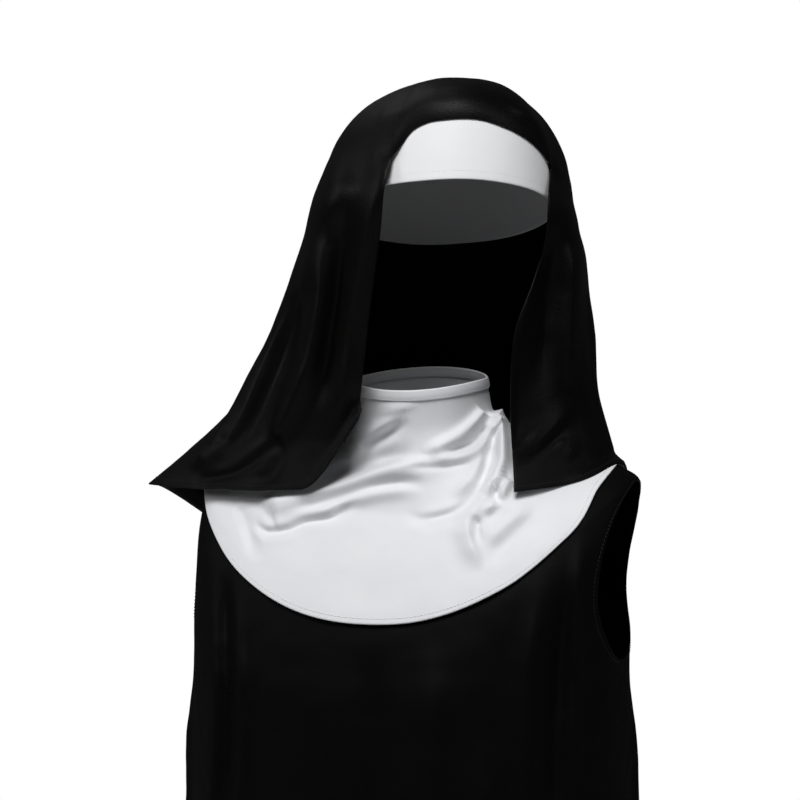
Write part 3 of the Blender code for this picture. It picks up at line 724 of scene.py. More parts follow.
COLLAR_CREASES = [
    Crease("crest", 18, 10, 4, 12, 0.1, 0.3, ((-122, -39), (-116, -35), (-100, -31), (-78, -26),
        (-57, -20), (-36, -12), (-19, -8), (-3, -6), (16, -2))),
    Crease("crest_back", 18, -5, 6, 4, 0.2, 0.3, ((-93, -21), (-75, -17), (-55, -9), (-36, -3),
        (-19, 2), (-10, 11))),
    Crease("crest_trough", 18, -3.5, 3.5, 4.5, 0.25, 0.3, ((-104, -41), (-86, -36), (-64, -30),
        (-42, -23), (-20, -19), (3, -20))),
    Crease("second_roll", 18, 3.5, 4, 6, 0.3, 0.3, ((-93, -42), (-75, -41), (-57, -34),
        (-38, -28), (-19, -26), (1, -29))),
    Crease("curl_end", 18, -5.5, 4, 4.5, 0.2, 0.25, ((-125, -41), (-123, -50), (-114, -57),
        (-101, -55), (-88, -49), (-72, -46), (-59, -39), (-45, -33))),
    Crease("fine_line", 18, -1.8, 2, 2.5, 0.3, 0.3, ((-17, -9), (1, -9), (20, -7), (35, -5))),
    Crease("arc", 18, -4.5, 4, 4.5, 0.3, 0.15, ((-19, -43), (-3, -47), (14, -44), (26, -38),
        (35, -28), (40, -16), (43, -4), (46, 11))),
    Crease("neck_upper", 18, 6, 4, 6, 0.25, 0.02, ((-4, -1), (9, 7), (22, 14), (32, 22),
        (41, 32))),
    Crease("neck_shade", 18, -5, 4, 4, 0.3, 0.15, ((9, -1), (20, 3), (30, 7), (38, 14),
        (43, 22))),
    Crease("neck_lower", 18, 6, 4, 5, 0.25, 0.02, ((0, -7), (14, -2), (29, 2), (39, 8),
        (45, 18), (50, 30))),
    Crease("cusp", 18, 10, 5, 4, 0.02, 0.2, ((51, 33), (53, 22), (54, 11), (54, -1), (51, -11),
        (47, -20), (42, -30))),
    Crease("cusp_line", 18, -4, 2.5, 3, 0.15, 0.3, ((49, 20), (46, 9), (44, -1), (40, -11),
        (33, -20))),
    Crease("cusp_fold", 18, 5, 4, 5, 0.25, 0.4, ((44, 6), (41, -4), (34, -14), (25, -24),
        (16, -33))),
    Crease("cusp_run", 18, 5, 7, 7, 0.3, 0.4, ((48, -14), (43, -25), (36, -35), (28, -44),
        (20, -53))),
    Crease("notch", 18, -6.5, 3.5, 3.5, 0.3, 0.35, ((47, -20), (49, -26), (50, -33),
        (50, -38))),
    Crease("peak", 18, 5, 4, 3, 0.05, 0.3, ((59, -17), (56, -23), (51, -31), (45, -38),
        (38, -44))),
    Crease("low_line", 18, 5, 3.5, 8, 0.3, 0.5, ((25, -44), (28, -54), (31, -64), (35, -74),
        (38, -85))),
    Crease("low_dark", 18, -4.5, 3.5, 4, 0.35, 0.45, ((38, -43), (36, -50), (36, -58),
        (40, -65))),
    Crease("vee", 18, -2.5, 6, 6, 0.3, 0.4, ((41, -80), (50, -70), (61, -60), (72, -50),
        (85, -43))),
    Crease("vee_ridge", 18, 3, 7, 6, 0.3, 0.4, ((38, -65), (46, -59), (57, -49), (68, -40),
        (80, -33))),
    Crease("left_crease", 18, -3.5, 5, 5, 0.2, 0.4, ((-139, -35), (-133, -47), (-128, -62),
        (-122, -78))),
    Crease("neck_left", 18, -5, 4, 5, 0.3, 0.4, ((-13, 27), (-25, 17), (-38, 9), (-48, 1),
        (-54, -9))),
    Crease("neck_left_ridge", 18, 3.5, 4, 5, 0.4, 0.5, ((-17, 31), (-32, 22), (-45, 14),
        (-54, 4))),
    Crease("neck_left_top", 18, 2, 4, 6, 0.5, 0.4, ((-3, 40), (-14, 36), (-26, 33), (-41, 30))),
    Crease("back_roll", 198, 5, 9, 9, 0.3, 0.3, ((-80, -30), (0, -12), (80, -34))),
    Crease("back_neck", 198, 3, 5, 6, 0.3, 0.3, ((-40, 30), (-4, 20), (38, 34))),
]


def collar_grid():
    """Rings of the stand, then the bib lying on the tunic."""
    turn = np.arange(COLLAR_COLUMNS) / COLLAR_COLUMNS
    angle = math.pi * np.interp(turn, [0.0, SHARE_OF_COLUMNS_BEHIND, 1.0], [0.0, 1.0, 2.0])
    rings = np.linspace(0.0, len(COLLAR_RINGS) - 1, COLLAR_ROWS_STAND)
    grid = [on_rings(COLLAR_RINGS, angle, ring) for ring in rings]
    turns = np.degrees(angle) % 360.0
    edge = through(column(BIB_EDGE, "turn"), column(BIB_EDGE, "ring"), turns)
    lift = np.stack([np.cos(angle), np.sin(angle), BIB_LIFT_UP * np.ones_like(angle)], axis=-1)
    lift /= np.linalg.norm(lift, axis=-1, keepdims=True)
    for part in np.linspace(0.0, 1.0, COLLAR_ROWS_BIB + 1)[1:]:
        on_tunic = on_rings(TUNIC_RINGS, angle, BIB_START + (edge - BIB_START) * part)
        grid.append(on_tunic + lift * COLLAR_RISE)
    return np.array(grid)


REPEATED = 4
ONCE = slice(REPEATED, -REPEATED)


def close_round(points, columns=REPEATED):
    """A closed grid with some columns repeated at each end, so that its joint is smooth."""
    return np.concatenate([points[:, -columns:], points, points[:, :columns]], axis=1)


def smooth_rows(points, rounds):
    """Rounds off the kink between two parts of a grid, top to bottom, and keeps its ends."""
    points = points.copy()
    for _ in range(rounds):
        points[1:-1] = 0.25 * points[:-2] + 0.5 * points[1:-1] + 0.25 * points[2:]
    return points


# %% Collar and binding
wide = close_round(smooth_rows(collar_grid(), COLLAR_SMOOTHING))
settled = ease(np.arange(wide.shape[0]) / COLLAR_SETTLING_ROWS)[:, None]
rise = unevenness(wide, *COLLAR_HILLS) * settled
wide = raised(creased(wide, COLLAR_CREASES, settled), rise)
wide = lay_over(wide, tree_of(*tunic_pieces.values()), COLLAR_GAP)
collar_points = wide[:, ONCE]
collar_out = normals_of(wide)[:, ONCE]
collar_piece = grid_piece(
    "collar_knit",
    hemmed(wide, COLLAR_HEM_ROWS)[:, ONCE],
    CLOTH["white_collar_knit"],
    closed=True,
)

BINDING_WIDTH = 0.0065
BINDING_OUT = 0.0011
BINDING_IN = 0.8 * BINDING_OUT
BINDING_EDGE_DROP = 0.0003
BINDING_EDGE_OUT = 0.0004
BINDING_ROWS_INSIDE, BINDING_ROWS_TOP, BINDING_ROWS_OUTSIDE = 8, 9, 12
BINDING_BULGE_INSIDE = 0.0003
BINDING_BULGE_OUTSIDE = 0.0004


def binding_grid():
    """A strip folded over the neck edge: up the inside, over the top, down the outside."""
    top, out = collar_points[0], collar_out[0]
    way = collar_points[1] - top
    way /= np.linalg.norm(way, axis=-1, keepdims=True)
    rows = []
    for down in np.linspace(BINDING_WIDTH, 0.0, BINDING_ROWS_INSIDE):
        bulge = BINDING_BULGE_INSIDE * math.sin(math.pi * down / BINDING_WIDTH)
        rows.append(top + way * down - out * (BINDING_IN + bulge))
    for turned in np.linspace(0.0, math.pi, BINDING_ROWS_TOP)[1:-1]:
        rows.append(top - (way * math.sin(turned) + out * math.cos(turned)) * BINDING_OUT)
    for down in np.linspace(0.0, BINDING_WIDTH, BINDING_ROWS_OUTSIDE):
        bulge = BINDING_BULGE_OUTSIDE * math.sin(math.pi * down / BINDING_WIDTH)
        rows.append(top + way * down + out * (BINDING_OUT + bulge))
    rows.append(top + way * (BINDING_WIDTH + BINDING_EDGE_DROP) + out * BINDING_EDGE_OUT)
    return np.array(rows)


binding_piece = grid_piece(
    "collar_binding_knit", binding_grid(), CLOTH["white_collar_knit"], closed=True
)

# %% [markdown]
# ## The headband
# The band is a strip of knit folded double and closed to a loop, stretched round the head and
# tilted back. Its fold is the smooth lower edge. Only its front shows, but it goes all the way
# round, and its inside shows through the face opening.
# %% Headband
HEAD_CENTRE = np.array((0.019, -0.020, 0.200))
HEAD_TURN = math.radians(27.0)
HEAD_LEAN = math.radians(2.5)
BAND_TILT = math.radians(12.0)
BAND_HALF_WIDTH = 0.0735
BAND_HALF_LENGTH = 0.096
BAND_HEIGHT = 0.050
BAND_TAPER = 0.13
BAND_WALL = 0.0015
BAND_PUFF = 0.0004
BAND_TUCK = 0.0010
BAND_TUCK_FROM = 0.70
BAND_TUCK_RUN = 0.25
BAND_WAVES = [Wave(0.0002, 5, 0.7), Wave(0.0001, 9, 2.1)]
BAND_COLUMNS = 288
BAND_ROWS_OUTSIDE, BAND_ROWS_FOLD, BAND_ROWS_INSIDE = 30, 8, 16


def head_axes():
    """The head's own left, back and up, after its turn and its lean."""
    left = np.array([math.cos(HEAD_TURN), math.sin(HEAD_TURN), 0.0])
    back = np.array([-math.sin(HEAD_TURN), math.cos(HEAD_TURN), 0.0])
    up = np.array([0.0, 0.0, 1.0])
    leaned_up = up * math.cos(HEAD_LEAN) + left * math.sin(HEAD_LEAN)
    leaned_left = left * math.cos(HEAD_LEAN) - up * math.sin(HEAD_LEAN)
    return leaned_left, back, leaned_up


def band_point(angle, height, outwards=0.0):
    """A point on the headband; the angle starts at the middle of the face, towards the left."""
    left, back, up = head_axes()
    grow = 1.0 - BAND_TAPER * height / BAND_HALF_WIDTH
    side = (BAND_HALF_WIDTH * grow + outwards) * np.sin(angle)
    behind = -(BAND_HALF_LENGTH * grow + outwards) * np.cos(angle)
    rise = height - math.tan(BAND_TILT) * behind
    return (
        HEAD_CENTRE + side[..., None] * left + behind[..., None] * back + rise[..., None] * up
    )


def band_grid():
    """Out and down the front of the band, round its folded lower edge, and up the inside."""
    angle = -np.arange(BAND_COLUMNS) * 2 * math.pi / BAND_COLUMNS
    wave = waves(angle, BAND_WAVES)
    half = BAND_HEIGHT / 2
    rows = []
    for height in np.linspace(half, -half, BAND_ROWS_OUTSIDE):
        puff = BAND_PUFF * math.sin(math.pi * (half - height) / BAND_HEIGHT)
        low = ease(0.5 - height / half)
        tuck = BAND_TUCK * ease((height / half - BAND_TUCK_FROM) / BAND_TUCK_RUN)
        rows.append(band_point(angle, height + wave * low, BAND_WALL + puff - tuck))
    for turned in np.linspace(0.0, math.pi, BAND_ROWS_FOLD)[1:-1]:
        low = -half - 0.5 * BAND_WALL * math.sin(turned)
        out = 0.5 * BAND_WALL * (1 + math.cos(turned))
        rows.append(band_point(angle, low + wave, out))
    for height in np.linspace(-half, half, BAND_ROWS_INSIDE):
        low = ease(0.5 - height / half)
        rows.append(band_point(angle, height + wave * low, 0.0 * angle))
    return np.array(rows)


band_piece = grid_piece("headband_knit", band_grid(), CLOTH["white_band_knit"], closed=True)

# %% [markdown]
# ## The veil
# The veil is one curved sheet. It is sewn to the band from temple to temple, goes over the crown
# hangs from the head, open in front. Sections from brow to hem give its fall: each is an
# oval with an open front, and its own heights all round. The listed creases then give the
# rolled front edges, the long folds over the shoulders and the turned-back corner.
# %% Veil sizes
SewnPoint = namedtuple("SewnPoint", "name turn height overhang")
SEWN_POINTS = [
    SewnPoint("right_end", -40, -0.0080, 0.0000),
    SewnPoint("right_corner", -30, 0.0105, 0.0000),
    SewnPoint("right_brow", -20, 0.0150, 0.0000),
    SewnPoint("middle", 0, 0.0165, 0.0000),
    SewnPoint("left_brow", 20, 0.0125, 0.0000),
    SewnPoint("left_temple", 40, 0.0060, 0.0000),
    SewnPoint("left_corner", 52, 0.0000, 0.0005),
    SewnPoint("left_end", 57, -0.0040, 0.0006),
    SewnPoint("left_side", 82, -0.0090, 0.0130),
    SewnPoint("left_back", 110, -0.0050, 0.0145),
    SewnPoint("behind", 190, 0.0060, 0.0070),
    SewnPoint("right_side", 275, 0.0040, 0.0065),
    SewnPoint("right_end_again", 320, -0.0080, 0.0000),
]
SEWN_RIGHT = -40
SEWN_LEFT = 57
SEAM_TOUCH = 0.0006
CROWN = np.array((0.022, -0.005, 0.2702))
CROWN_FLATNESS = 1.08
BROW_SQUARE = 0.24
BROW_SPAN, BROW_FADE = 1.6, 0.4
LEFT_FRONT_SHARE, RIGHT_FRONT_SHARE = 0.5, 0.85
VeilSection = namedtuple(
    "VeilSection",
    "name turn centre_x centre_y to_left to_right front back open_left open_right "
    "z_left_edge z_left_front z_left z_back z_right z_right_front z_right_edge",
)
VEIL_SECTIONS = [
    VeilSection("brow", 24, 0.019, -0.020, 0.094, 0.092, 0.100, 0.106, -48, 237,
                0.178, 0.174, 0.170, 0.150, 0.182, 0.188, 0.190),
    VeilSection("ear", 19, 0.016, -0.014, 0.100, 0.1025, 0.096, 0.110, -44.5, 243,
                0.144, 0.142, 0.138, 0.108, 0.144, 0.150, 0.154),
    VeilSection("cheek", 13, 0.006, -0.008, 0.113, 0.102, 0.090, 0.110, -57.7, 248,
                0.095, 0.096, 0.096, 0.056, 0.098, 0.100, 0.100),
    VeilSection("chin", 8, 0.000, -0.004, 0.119, 0.119, 0.084, 0.108, -53.8, 254.5,
                0.046, 0.048, 0.054, 0.002, 0.059, 0.048, 0.060),
    VeilSection("neck_base", 2, 0.000, 0.000, 0.1265, 0.160, 0.082, 0.106, -51.3, 260.3,
                0.008, 0.012, 0.024, -0.060, 0.020, 0.007, 0.042),
    VeilSection("hem", 0, 0.000, 0.000, 0.136, 0.216, 0.090, 0.118, -51.1, 264.4,
                -0.018, -0.013, -0.004, -0.150, -0.026, -0.0195, 0.032),
]
VEIL_CREASES = [
    Crease("edge_curl", 18, 6.5, 8, 10, 0.4, 0.3, ((14, 253), (7, 259), (-2, 260), (-11, 255),
        (-19, 242), (-26, 225), (-33, 205), (-38, 185), (-45, 159), (-51, 130), (-57, 105),
        (-62, 80), (-63, 51), (-64, 29), (-67, 7), (-72, -11))),
    Crease("panel_start", 18, 6, 13, 15, 0.5, 0.4, ((-55, 234), (-65, 212), (-71, 192),
        (-76, 170), (-78, 152))),
    Crease("panel_middle", 18, 9, 10, 10, 0.4, 0.3, ((-75, 181), (-78, 149), (-78, 123),
        (-80, 98), (-84, 76), (-92, 57), (-101, 38), (-109, 22), (-120, 9), (-134, -1),
        (-149, -9), (-162, -15))),
    Crease("panel_outer", 18, 7, 8, 8, 0.45, 0.3, ((-77, 174), (-86, 143), (-94, 126),
        (-102, 107), (-108, 89), (-117, 69), (-125, 51), (-131, 36), (-138, 22), (-148, 9),
        (-161, 1), (-177, -4), (-188, -7))),
    Crease("valley_outer", 18, -6, 6, 6, 0.4, 0.3, ((-86, 130), (-91, 111), (-98, 91),
        (-106, 69), (-114, 49), (-123, 31), (-132, 15), (-143, 4), (-154, -6), (-165, -11))),
    Crease("valley_inner", 18, -11, 11, 9, 0.35, 0.35, ((-55, 196), (-60, 167), (-63, 138),
        (-66, 112), (-70, 87), (-73, 65), (-76, 43), (-80, 25))),
    Crease("under_crease", 18, -3.5, 4, 3.5, 0.4, 0.15, ((-104, 15), (-110, 9), (-117, 3),
        (-129, -7), (-142, -14), (-157, -17), (-174, -20))),
    Crease("low_panel", 18, 3.5, 8, 5, 0.5, 0.35, ((-92, 16), (-107, 3), (-122, -9),
        (-138, -19), (-157, -26))),
    Crease("shoulder_tuck", 18, -4, 3, 4, 0.2, 0.3, ((-143, 14), (-155, 9), (-167, 4),
        (-178, -1))),
    Crease("right_arc", 18, 2.2, 6, 4, 0.35, 0.3, ((46, 264), (57, 258), (66, 251), (74, 243),
        (80, 233), (85, 221), (89, 205), (93, 188))),
    Crease("right_pocket", 18, -2.5, 4, 5, 0.35, 0.3, ((61, 246), (68, 243), (75, 236),
        (80, 226), (84, 214))),
    Crease("right_hang", 18, 6, 9, 7, 0.3, 0.3, ((107, 165), (105, 145), (104, 120), (103, 90),
        (103, 62), (104, 42))),
    Crease("right_valley", 18, -8, 9, 12, 0.4, 0.35, ((96, 180), (92, 160), (89, 135),
        (86, 108), (84, 80), (82, 54), (80, 32))),
    Crease("folded_tip", 18, 3.5, 6, 9, 0.5, 0.35, ((105, 43), (98, 29), (88, 17), (76, 6),
        (62, -6))),
    Crease("tip_shadow", 18, -1.8, 4, 4, 0.4, 0.4, ((104, 28), (96, 17), (86, 7), (75, -2),
        (64, -10))),
    Crease("low_right", 18, 2, 8, 8, 0.4, 0.4, ((96, 13), (101, 5), (108, -4))),
    Crease("inner_edge", 18, 4, 5, 5, 0.3, 0.1, ((80, 140), (72, 112), (64, 87), (59, 62),
        (58, 33), (58, 4))),
    Crease("nape", 198, 4, 16, 12, 0.4, 0.4, ((-70, 120), (0, 108), (70, 124))),
    Crease("back_left", 198, 10, 12, 16, 0.4, 0, ((48, 150), (62, 10), (96, -120))),
    Crease("back_left_valley", 198, -7, 10, 12, 0.4, 0.1, ((30, 110), (34, 0), (50, -140))),
    Crease("back_middle", 198, 9, 12, 12, 0.5, 0, ((4, 130), (-8, 10), (6, -170))),
    Crease("back_right", 198, 10, 14, 12, 0.4, 0, ((-52, 150), (-60, 20), (-74, -130))),
    Crease("back_right_valley", 198, -7, 10, 10, 0.4, 0.1, ((-30, 100), (-32, 0), (-40, -140))),
    Crease("side_right", -75, 8, 12, 14, 0.5, 0.1, ((34, 170), (14, 50), (20, -30))),
    Crease("side_right_valley", -75, -6, 8, 10, 0.5, 0.1, ((52, 150), (42, 40), (50, -40))),
    Crease("side_left", 105, 4, 12, 12, 0.5, 0.1, ((-20, 170), (-10, 60), (-24, -20))),
    Crease("side_left_valley", 105, -3, 8, 10, 0.5, 0.1, ((12, 150), (20, 50), (14, -30))),
]


def brow_ring(degrees):
    """Where the veil passes over the band: sewn on it in front, hanging past it behind."""
    turn = (degrees - SEWN_RIGHT) % 360.0 + SEWN_RIGHT
    places = column(SEWN_POINTS, "turn")
    height = through(places, column(SEWN_POINTS, "height"), turn)
    overhang = through(places, column(SEWN_POINTS, "overhang"), turn)
    return band_point(np.radians(degrees), height, BAND_WALL + SEAM_TOUCH + overhang)


def veil_section(section, part):
    """A section's points at parts 0 (open edge on the wearer's left) to 1 (on the right)."""
    degrees = section.open_left + part * (section.open_right - section.open_left)
    angle = np.radians(degrees)
    reach = np.where(np.cos(angle) > 0, section.to_left, section.to_right)
    depth = np.where(np.sin(angle) < 0, section.front, section.back)
    x, y = reach * np.cos(angle), depth * np.sin(angle)
    turn = math.radians(section.turn)
    z_places = [section.open_left, LEFT_FRONT_SHARE * section.open_left, 0, 90, 180]
    z_places += [180 + RIGHT_FRONT_SHARE * (section.open_right - 180), section.open_right]
    z = through(z_places, [getattr(section, k) for k in VeilSection._fields[-7:]], degrees)
    return np.stack(
        [
            section.centre_x + x * math.cos(turn) - y * math.sin(turn),
            section.centre_y + x * math.sin(turn) + y * math.cos(turn),
            z,
        ],
        axis=-1,
    )


# %% Veil cloth
VEIL_COLUMNS = 340
VEIL_FACE_COLUMNS = 90
VEIL_CAP_ROWS = 48
VEIL_DROP_ROWS = 180
CORNER_COLUMNS = 14
CORNER_CUT = 0.55
PART_OF_COLUMN = ([0.0, 0.30, 0.50, 1.0], [0.0, 0.24, 0.58, 1.0])
VEIL_HILLS = [Hills(0.040, 0.0009, 5.0), Hills(0.012, 0.0002, 6.0)]
VEIL_SMOOTHING = 110
CAP_MEETING = 8
CAP_SIDE_SHARE = 0.06
SEWN_FROM = 0.78
SEWN_FLATNESS = 0.85
EDGE_COLUMNS = 16.0
MEETING_ROWS = 11.0
EDGE_MEETING_ROWS = 16.0
ROWS_BY_BAND = 80
CAP_GAP, VEIL_GAP, BAND_GAP = 0.0008, 0.0009, 0.0010
CAP_FIRST_GAP = 0.0006
EDGE_ROWS = 60
EDGE_SMOOTHING = 60


def veil_grids():
    """The cap from the crown to the band all round, and the drop from there to the hem."""
    part = np.interp(np.linspace(0.0, 1.0, VEIL_COLUMNS), *PART_OF_COLUMN)
    hanging = SEWN_LEFT + part * (360.0 + SEWN_RIGHT - SEWN_LEFT)
    face = np.linspace(SEWN_RIGHT, SEWN_LEFT, VEIL_FACE_COLUMNS + 2)[1:-1]
    around = np.concatenate([hanging, face])
    brow = brow_ring(around)
    square = 1.0 - BROW_SQUARE * ease(BROW_SPAN * np.cos(np.radians(around)) - BROW_FADE)
    cap = []
    for share in np.linspace(0.0, 1.0, VEIL_CAP_ROWS + 1)[1:]:
        outwards = math.sin(share * math.pi / 2) ** square
        down = 1.0 - math.cos(share * math.pi / 2) ** (CROWN_FLATNESS * square)
        ring = CROWN + (brow - CROWN) * outwards[:, None]
        ring[:, 2] = CROWN[2] + (brow[:, 2] - CROWN[2]) * down
        cap.append(ring)
    cap = np.array(cap)
    before = VEIL_CAP_ROWS // 8
    keys = [cap[-1 - before, :VEIL_COLUMNS], cap[-1, :VEIL_COLUMNS]]
    keys += [veil_section(section, part) for section in VEIL_SECTIONS]
    keys = np.array(keys)
    stations = np.arange(len(keys), dtype=float)
    rows = np.linspace(1.0, len(keys) - 1, VEIL_DROP_ROWS + 1)[1:]
    drop = np.empty((len(rows), VEIL_COLUMNS, 3))
    for j in range(VEIL_COLUMNS):
        by_corner = max(0.0, 1.0 - (VEIL_COLUMNS - 1 - j) / CORNER_COLUMNS)
        cut_off = CORNER_CUT * (1.0 - math.sqrt(1.0 - by_corner**2)) / rows[-1]
        at = rows * (1.0 - cut_off * rows / rows[-1])
        for axis in range(3):
            drop[:, j, axis] = through(stations, keys[:, j, axis], at)
    return cap, drop


def veil_folds(points, factor=1.0):
    """The veil's creases and its small unevenness."""
    rise = unevenness(points, *VEIL_HILLS)
    return raised(creased(points, VEIL_CREASES, factor), rise * factor)


cap, drop = veil_grids()
print("veil grids", cap.shape, drop.shape)
below = tree_of(*tunic_pieces.values(), collar_piece, band_piece)
band_tree = tree_of(band_piece)

round_cap = close_round(cap, CAP_MEETING)
down = np.linspace(0.0, 1.0, VEIL_CAP_ROWS)[:, None]
face_column = np.arange(round_cap.shape[1]) - CAP_MEETING - VEIL_COLUMNS
across_face = face_column / (VEIL_FACE_COLUMNS - 1.0)
sewn = ease(across_face / CAP_SIDE_SHARE) * ease((1.0 - across_face) / CAP_SIDE_SHARE)
flat = 1.0 - SEWN_FLATNESS * ease((down - SEWN_FROM) / (1.0 - SEWN_FROM)) * sewn[None, :]
round_cap = lay_over(veil_folds(round_cap, flat), below, CAP_FIRST_GAP)
round_cap = lay_over(round_cap, below, CAP_GAP, HEAD_CENTRE)[:, CAP_MEETING:-CAP_MEETING]
face = round_cap[:, VEIL_COLUMNS:]

hanging = smooth_rows(np.concatenate([cap[:, :VEIL_COLUMNS], drop]), VEIL_SMOOTHING)
hanging = lay_over(veil_folds(hanging), band_tree, VEIL_GAP, cells=14)
hanging = lay_over(hanging, below, VEIL_GAP)

rows_past = np.arange(hanging.shape[0])[:, None] - (VEIL_CAP_ROWS - 1.0)
column_number = np.arange(VEIL_COLUMNS)
from_edge = np.minimum(column_number, VEIL_COLUMNS - 1.0 - column_number)[None, :]
by_edge = ease(1.0 - from_edge / EDGE_COLUMNS)
keep = 1.0 - ease(rows_past / MEETING_ROWS + 1.0)
keep = keep + (1.0 - ease(rows_past / EDGE_MEETING_ROWS) - keep) * by_edge
apart = round_cap[:, :VEIL_COLUMNS] - hanging[:VEIL_CAP_ROWS]
apart = np.concatenate([apart, np.repeat(apart[-1:], len(hanging) - VEIL_CAP_ROWS, axis=0)])
hanging += apart * keep[..., None]

upper = slice(0, VEIL_CAP_ROWS + ROWS_BY_BAND)
hanging[upper] = lay_over(hanging[upper], band_tree, BAND_GAP, HEAD_CENTRE, cells=8)
beside_band = slice(VEIL_CAP_ROWS - 1, VEIL_CAP_ROWS + EDGE_ROWS)
smoothed = smooth_rows(hanging[beside_band], EDGE_SMOOTHING)
hanging[beside_band] += (smoothed - hanging[beside_band]) * by_edge[..., None]

TURN_IN = 5
FACE_UV_SHIFT = 2.0


def veil_mesh():
    """Joins the crown, the hanging sheet and the sewn front into one sheet."""
    sheet = hemmed(hanging, TURN_IN, TURN_IN)
    number = 1 + numbers_of(sheet)
    face_number = number[-1, -1] + 1 + numbers_of(face)
    turned = TURN_IN + HEM_STEPS
    middle = number[:, turned:-turned]
    faces = patch_faces(middle)
    faces += patch_faces(number[VEIL_CAP_ROWS - 1 :, : turned + 1])
    faces += patch_faces(number[VEIL_CAP_ROWS - 1 :, -turned - 1 :])
    cap_rows = middle[:VEIL_CAP_ROWS]
    faces += patch_faces(np.concatenate([cap_rows[:, -1:], face_number, cap_rows[:, :1]], axis=1))
    ring = np.concatenate([middle[0], face_number[0]])
    faces += [[0, int(ring[j]), int(ring[(j + 1) % len(ring)])] for j in range(len(ring))]
    points = np.concatenate([[CROWN], sheet.reshape(-1, 3), face.reshape(-1, 3)])
    face_uv = np.stack([lengths_along(face, 1) + FACE_UV_SHIFT, -lengths_along(face, 0)], axis=-1)
    uv = np.concatenate([[[0.0, 0.0]], centred_uv(sheet), face_uv.reshape(-1, 2)])
    return cloth_piece("veil_cloth", points, faces, uv, CLOTH["black_veil_jersey"])


veil_piece = veil_mesh()

# %% [markdown]
# ## Stitches
# Machine stitches repeat along a line, so Geometry Nodes set them. The tree takes any line,
# measures it out in steps, puts one small bead of thread on each step and turns it along the
# line. Every seam uses the same tree with its own spacing and its own thread.
# %% Stitch tree
def stitch_tree():
    """Beads of thread, evenly spaced and turned along a line."""
    tree, given, result = new_group(
        "stitch row",
        "GeometryNodeTree",
        [
            ("Line", "Geometry", None),
            ("Spacing", "Float", 0.003),
            ("Length", "Float", 0.0022),
            ("Thread", "Float", 0.0005),
            ("Material", "Material", None),
        ],
        [("Stitches", "Geometry")],
    )
    given = given.outputs

    def add(kind, inputs=None, **settings):
        return add_node(tree, kind, inputs, **settings).outputs[0]

    curve = add("GeometryNodeMeshToCurve", {"Mesh": given["Line"]})
    steps = {"Curve": curve, "Length": given["Spacing"]}
    points = add("GeometryNodeResampleCurve", steps, mode="LENGTH")
    bead = add("GeometryNodeMeshIcoSphere", {"Subdivisions": 2, "Radius": 0.5})
    tangent = add("GeometryNodeInputTangent")
    turned = add("FunctionNodeAlignRotationToVector", {"Vector": tangent}, axis="X")
    sides = {0: given["Length"], 1: given["Thread"], 2: given["Thread"]}
    size = add("ShaderNodeCombineXYZ", sides)
    beads = {"Points": points, "Instance": bead, "Rotation": turned, "Scale": size}
    real = add("GeometryNodeRealizeInstances", {0: add("GeometryNodeInstanceOnPoints", beads)})
    smooth = add("GeometryNodeSetShadeSmooth", {0: real})
    painted = {"Geometry": smooth, "Material": given["Material"]}
    feed(tree, result, {0: add("GeometryNodeSetMaterial", painted)})
    return tree


STITCHES = stitch_tree()


def stitch_row(row, lines):
    """Real stitches along some lines of points, as one plain mesh."""
    mesh = bpy.data.meshes.new(row.name + "_line")
    points, edges = [], []
    for line in lines:
        start = len(points)
        points += [tuple(p) for p in line]
        edges += [(start + k, start + k + 1) for k in range(len(line) - 1)]
    mesh.from_pydata(points, edges, [])
    holder = add_object(row.name + "_line", mesh)
    modifier = holder.modifiers.new("stitches", "NODES")
    modifier.node_group = STITCHES
    values = {"Spacing": row.spacing, "Length": row.length, "Thread": row.width}
    values["Material"] = CLOTH[row.thread]
    for item in STITCHES.interface.items_tree:
        if item.in_out == "INPUT" and item.name in values:
            modifier[item.identifier] = values[item.name]
    bpy.context.view_layer.update()
    graph = bpy.context.evaluated_depsgraph_get()
    plain = bpy.data.meshes.new_from_object(holder.evaluated_get(graph))
    plain.name = row.name
    bpy.data.objects.remove(holder)
    print(row.name, "faces", len(plain.polygons))
    return add_object(row.name, plain)


def line_beside(points, index, axis=0, lift=0.0002):
    """A row or column of a grid, lifted a little off the cloth."""
    above = points + normals_of(points) * lift
    return above[index] if axis == 0 else above[:, index]


# %% Stitch rows
StitchRow = namedtuple("StitchRow", "name slot thread spacing length width")
STITCH_ROWS = [
    StitchRow("tunic_hem_stitches", "black_tunic", "black_thread", 0.0034, 0.0025, 0.00045),
    StitchRow("armhole_stitches", "black_tunic", "black_thread", 0.0030, 0.0022, 0.00040),
    StitchRow("veil_hem_stitches", "black_veil", "black_thread", 0.0028, 0.0021, 0.00040),
    StitchRow("bib_hem_stitches", "white_knit", "white_thread", 0.0026, 0.0019, 0.00035),
    StitchRow("binding_stitches", "white_knit", "white_thread", 0.0022, 0.0016, 0.00032),
    StitchRow("band_stitches", "white_band", "white_thread", 0.0024, 0.0017, 0.00030),
]
TUNIC_HEM_DEPTH = 0.022
VEIL_HEM_DEPTH = 0.007
ARMHOLE_COLUMNS = (4, -5)
BIB_HEM_ROW, BINDING_ROW, BAND_ROW = -5, -3, 26


def row_at(points, depth):
    """The row that lies some way above the last one, measured down the middle column."""
    middle = points.shape[1] // 2
    down = lengths_along(points[:, middle : middle + 1], 0)[:, 0]
    return int(np.argmin(np.abs(down - (down[-1] - depth))))


def loop(line):
    return np.concatenate([line, line[:1]])


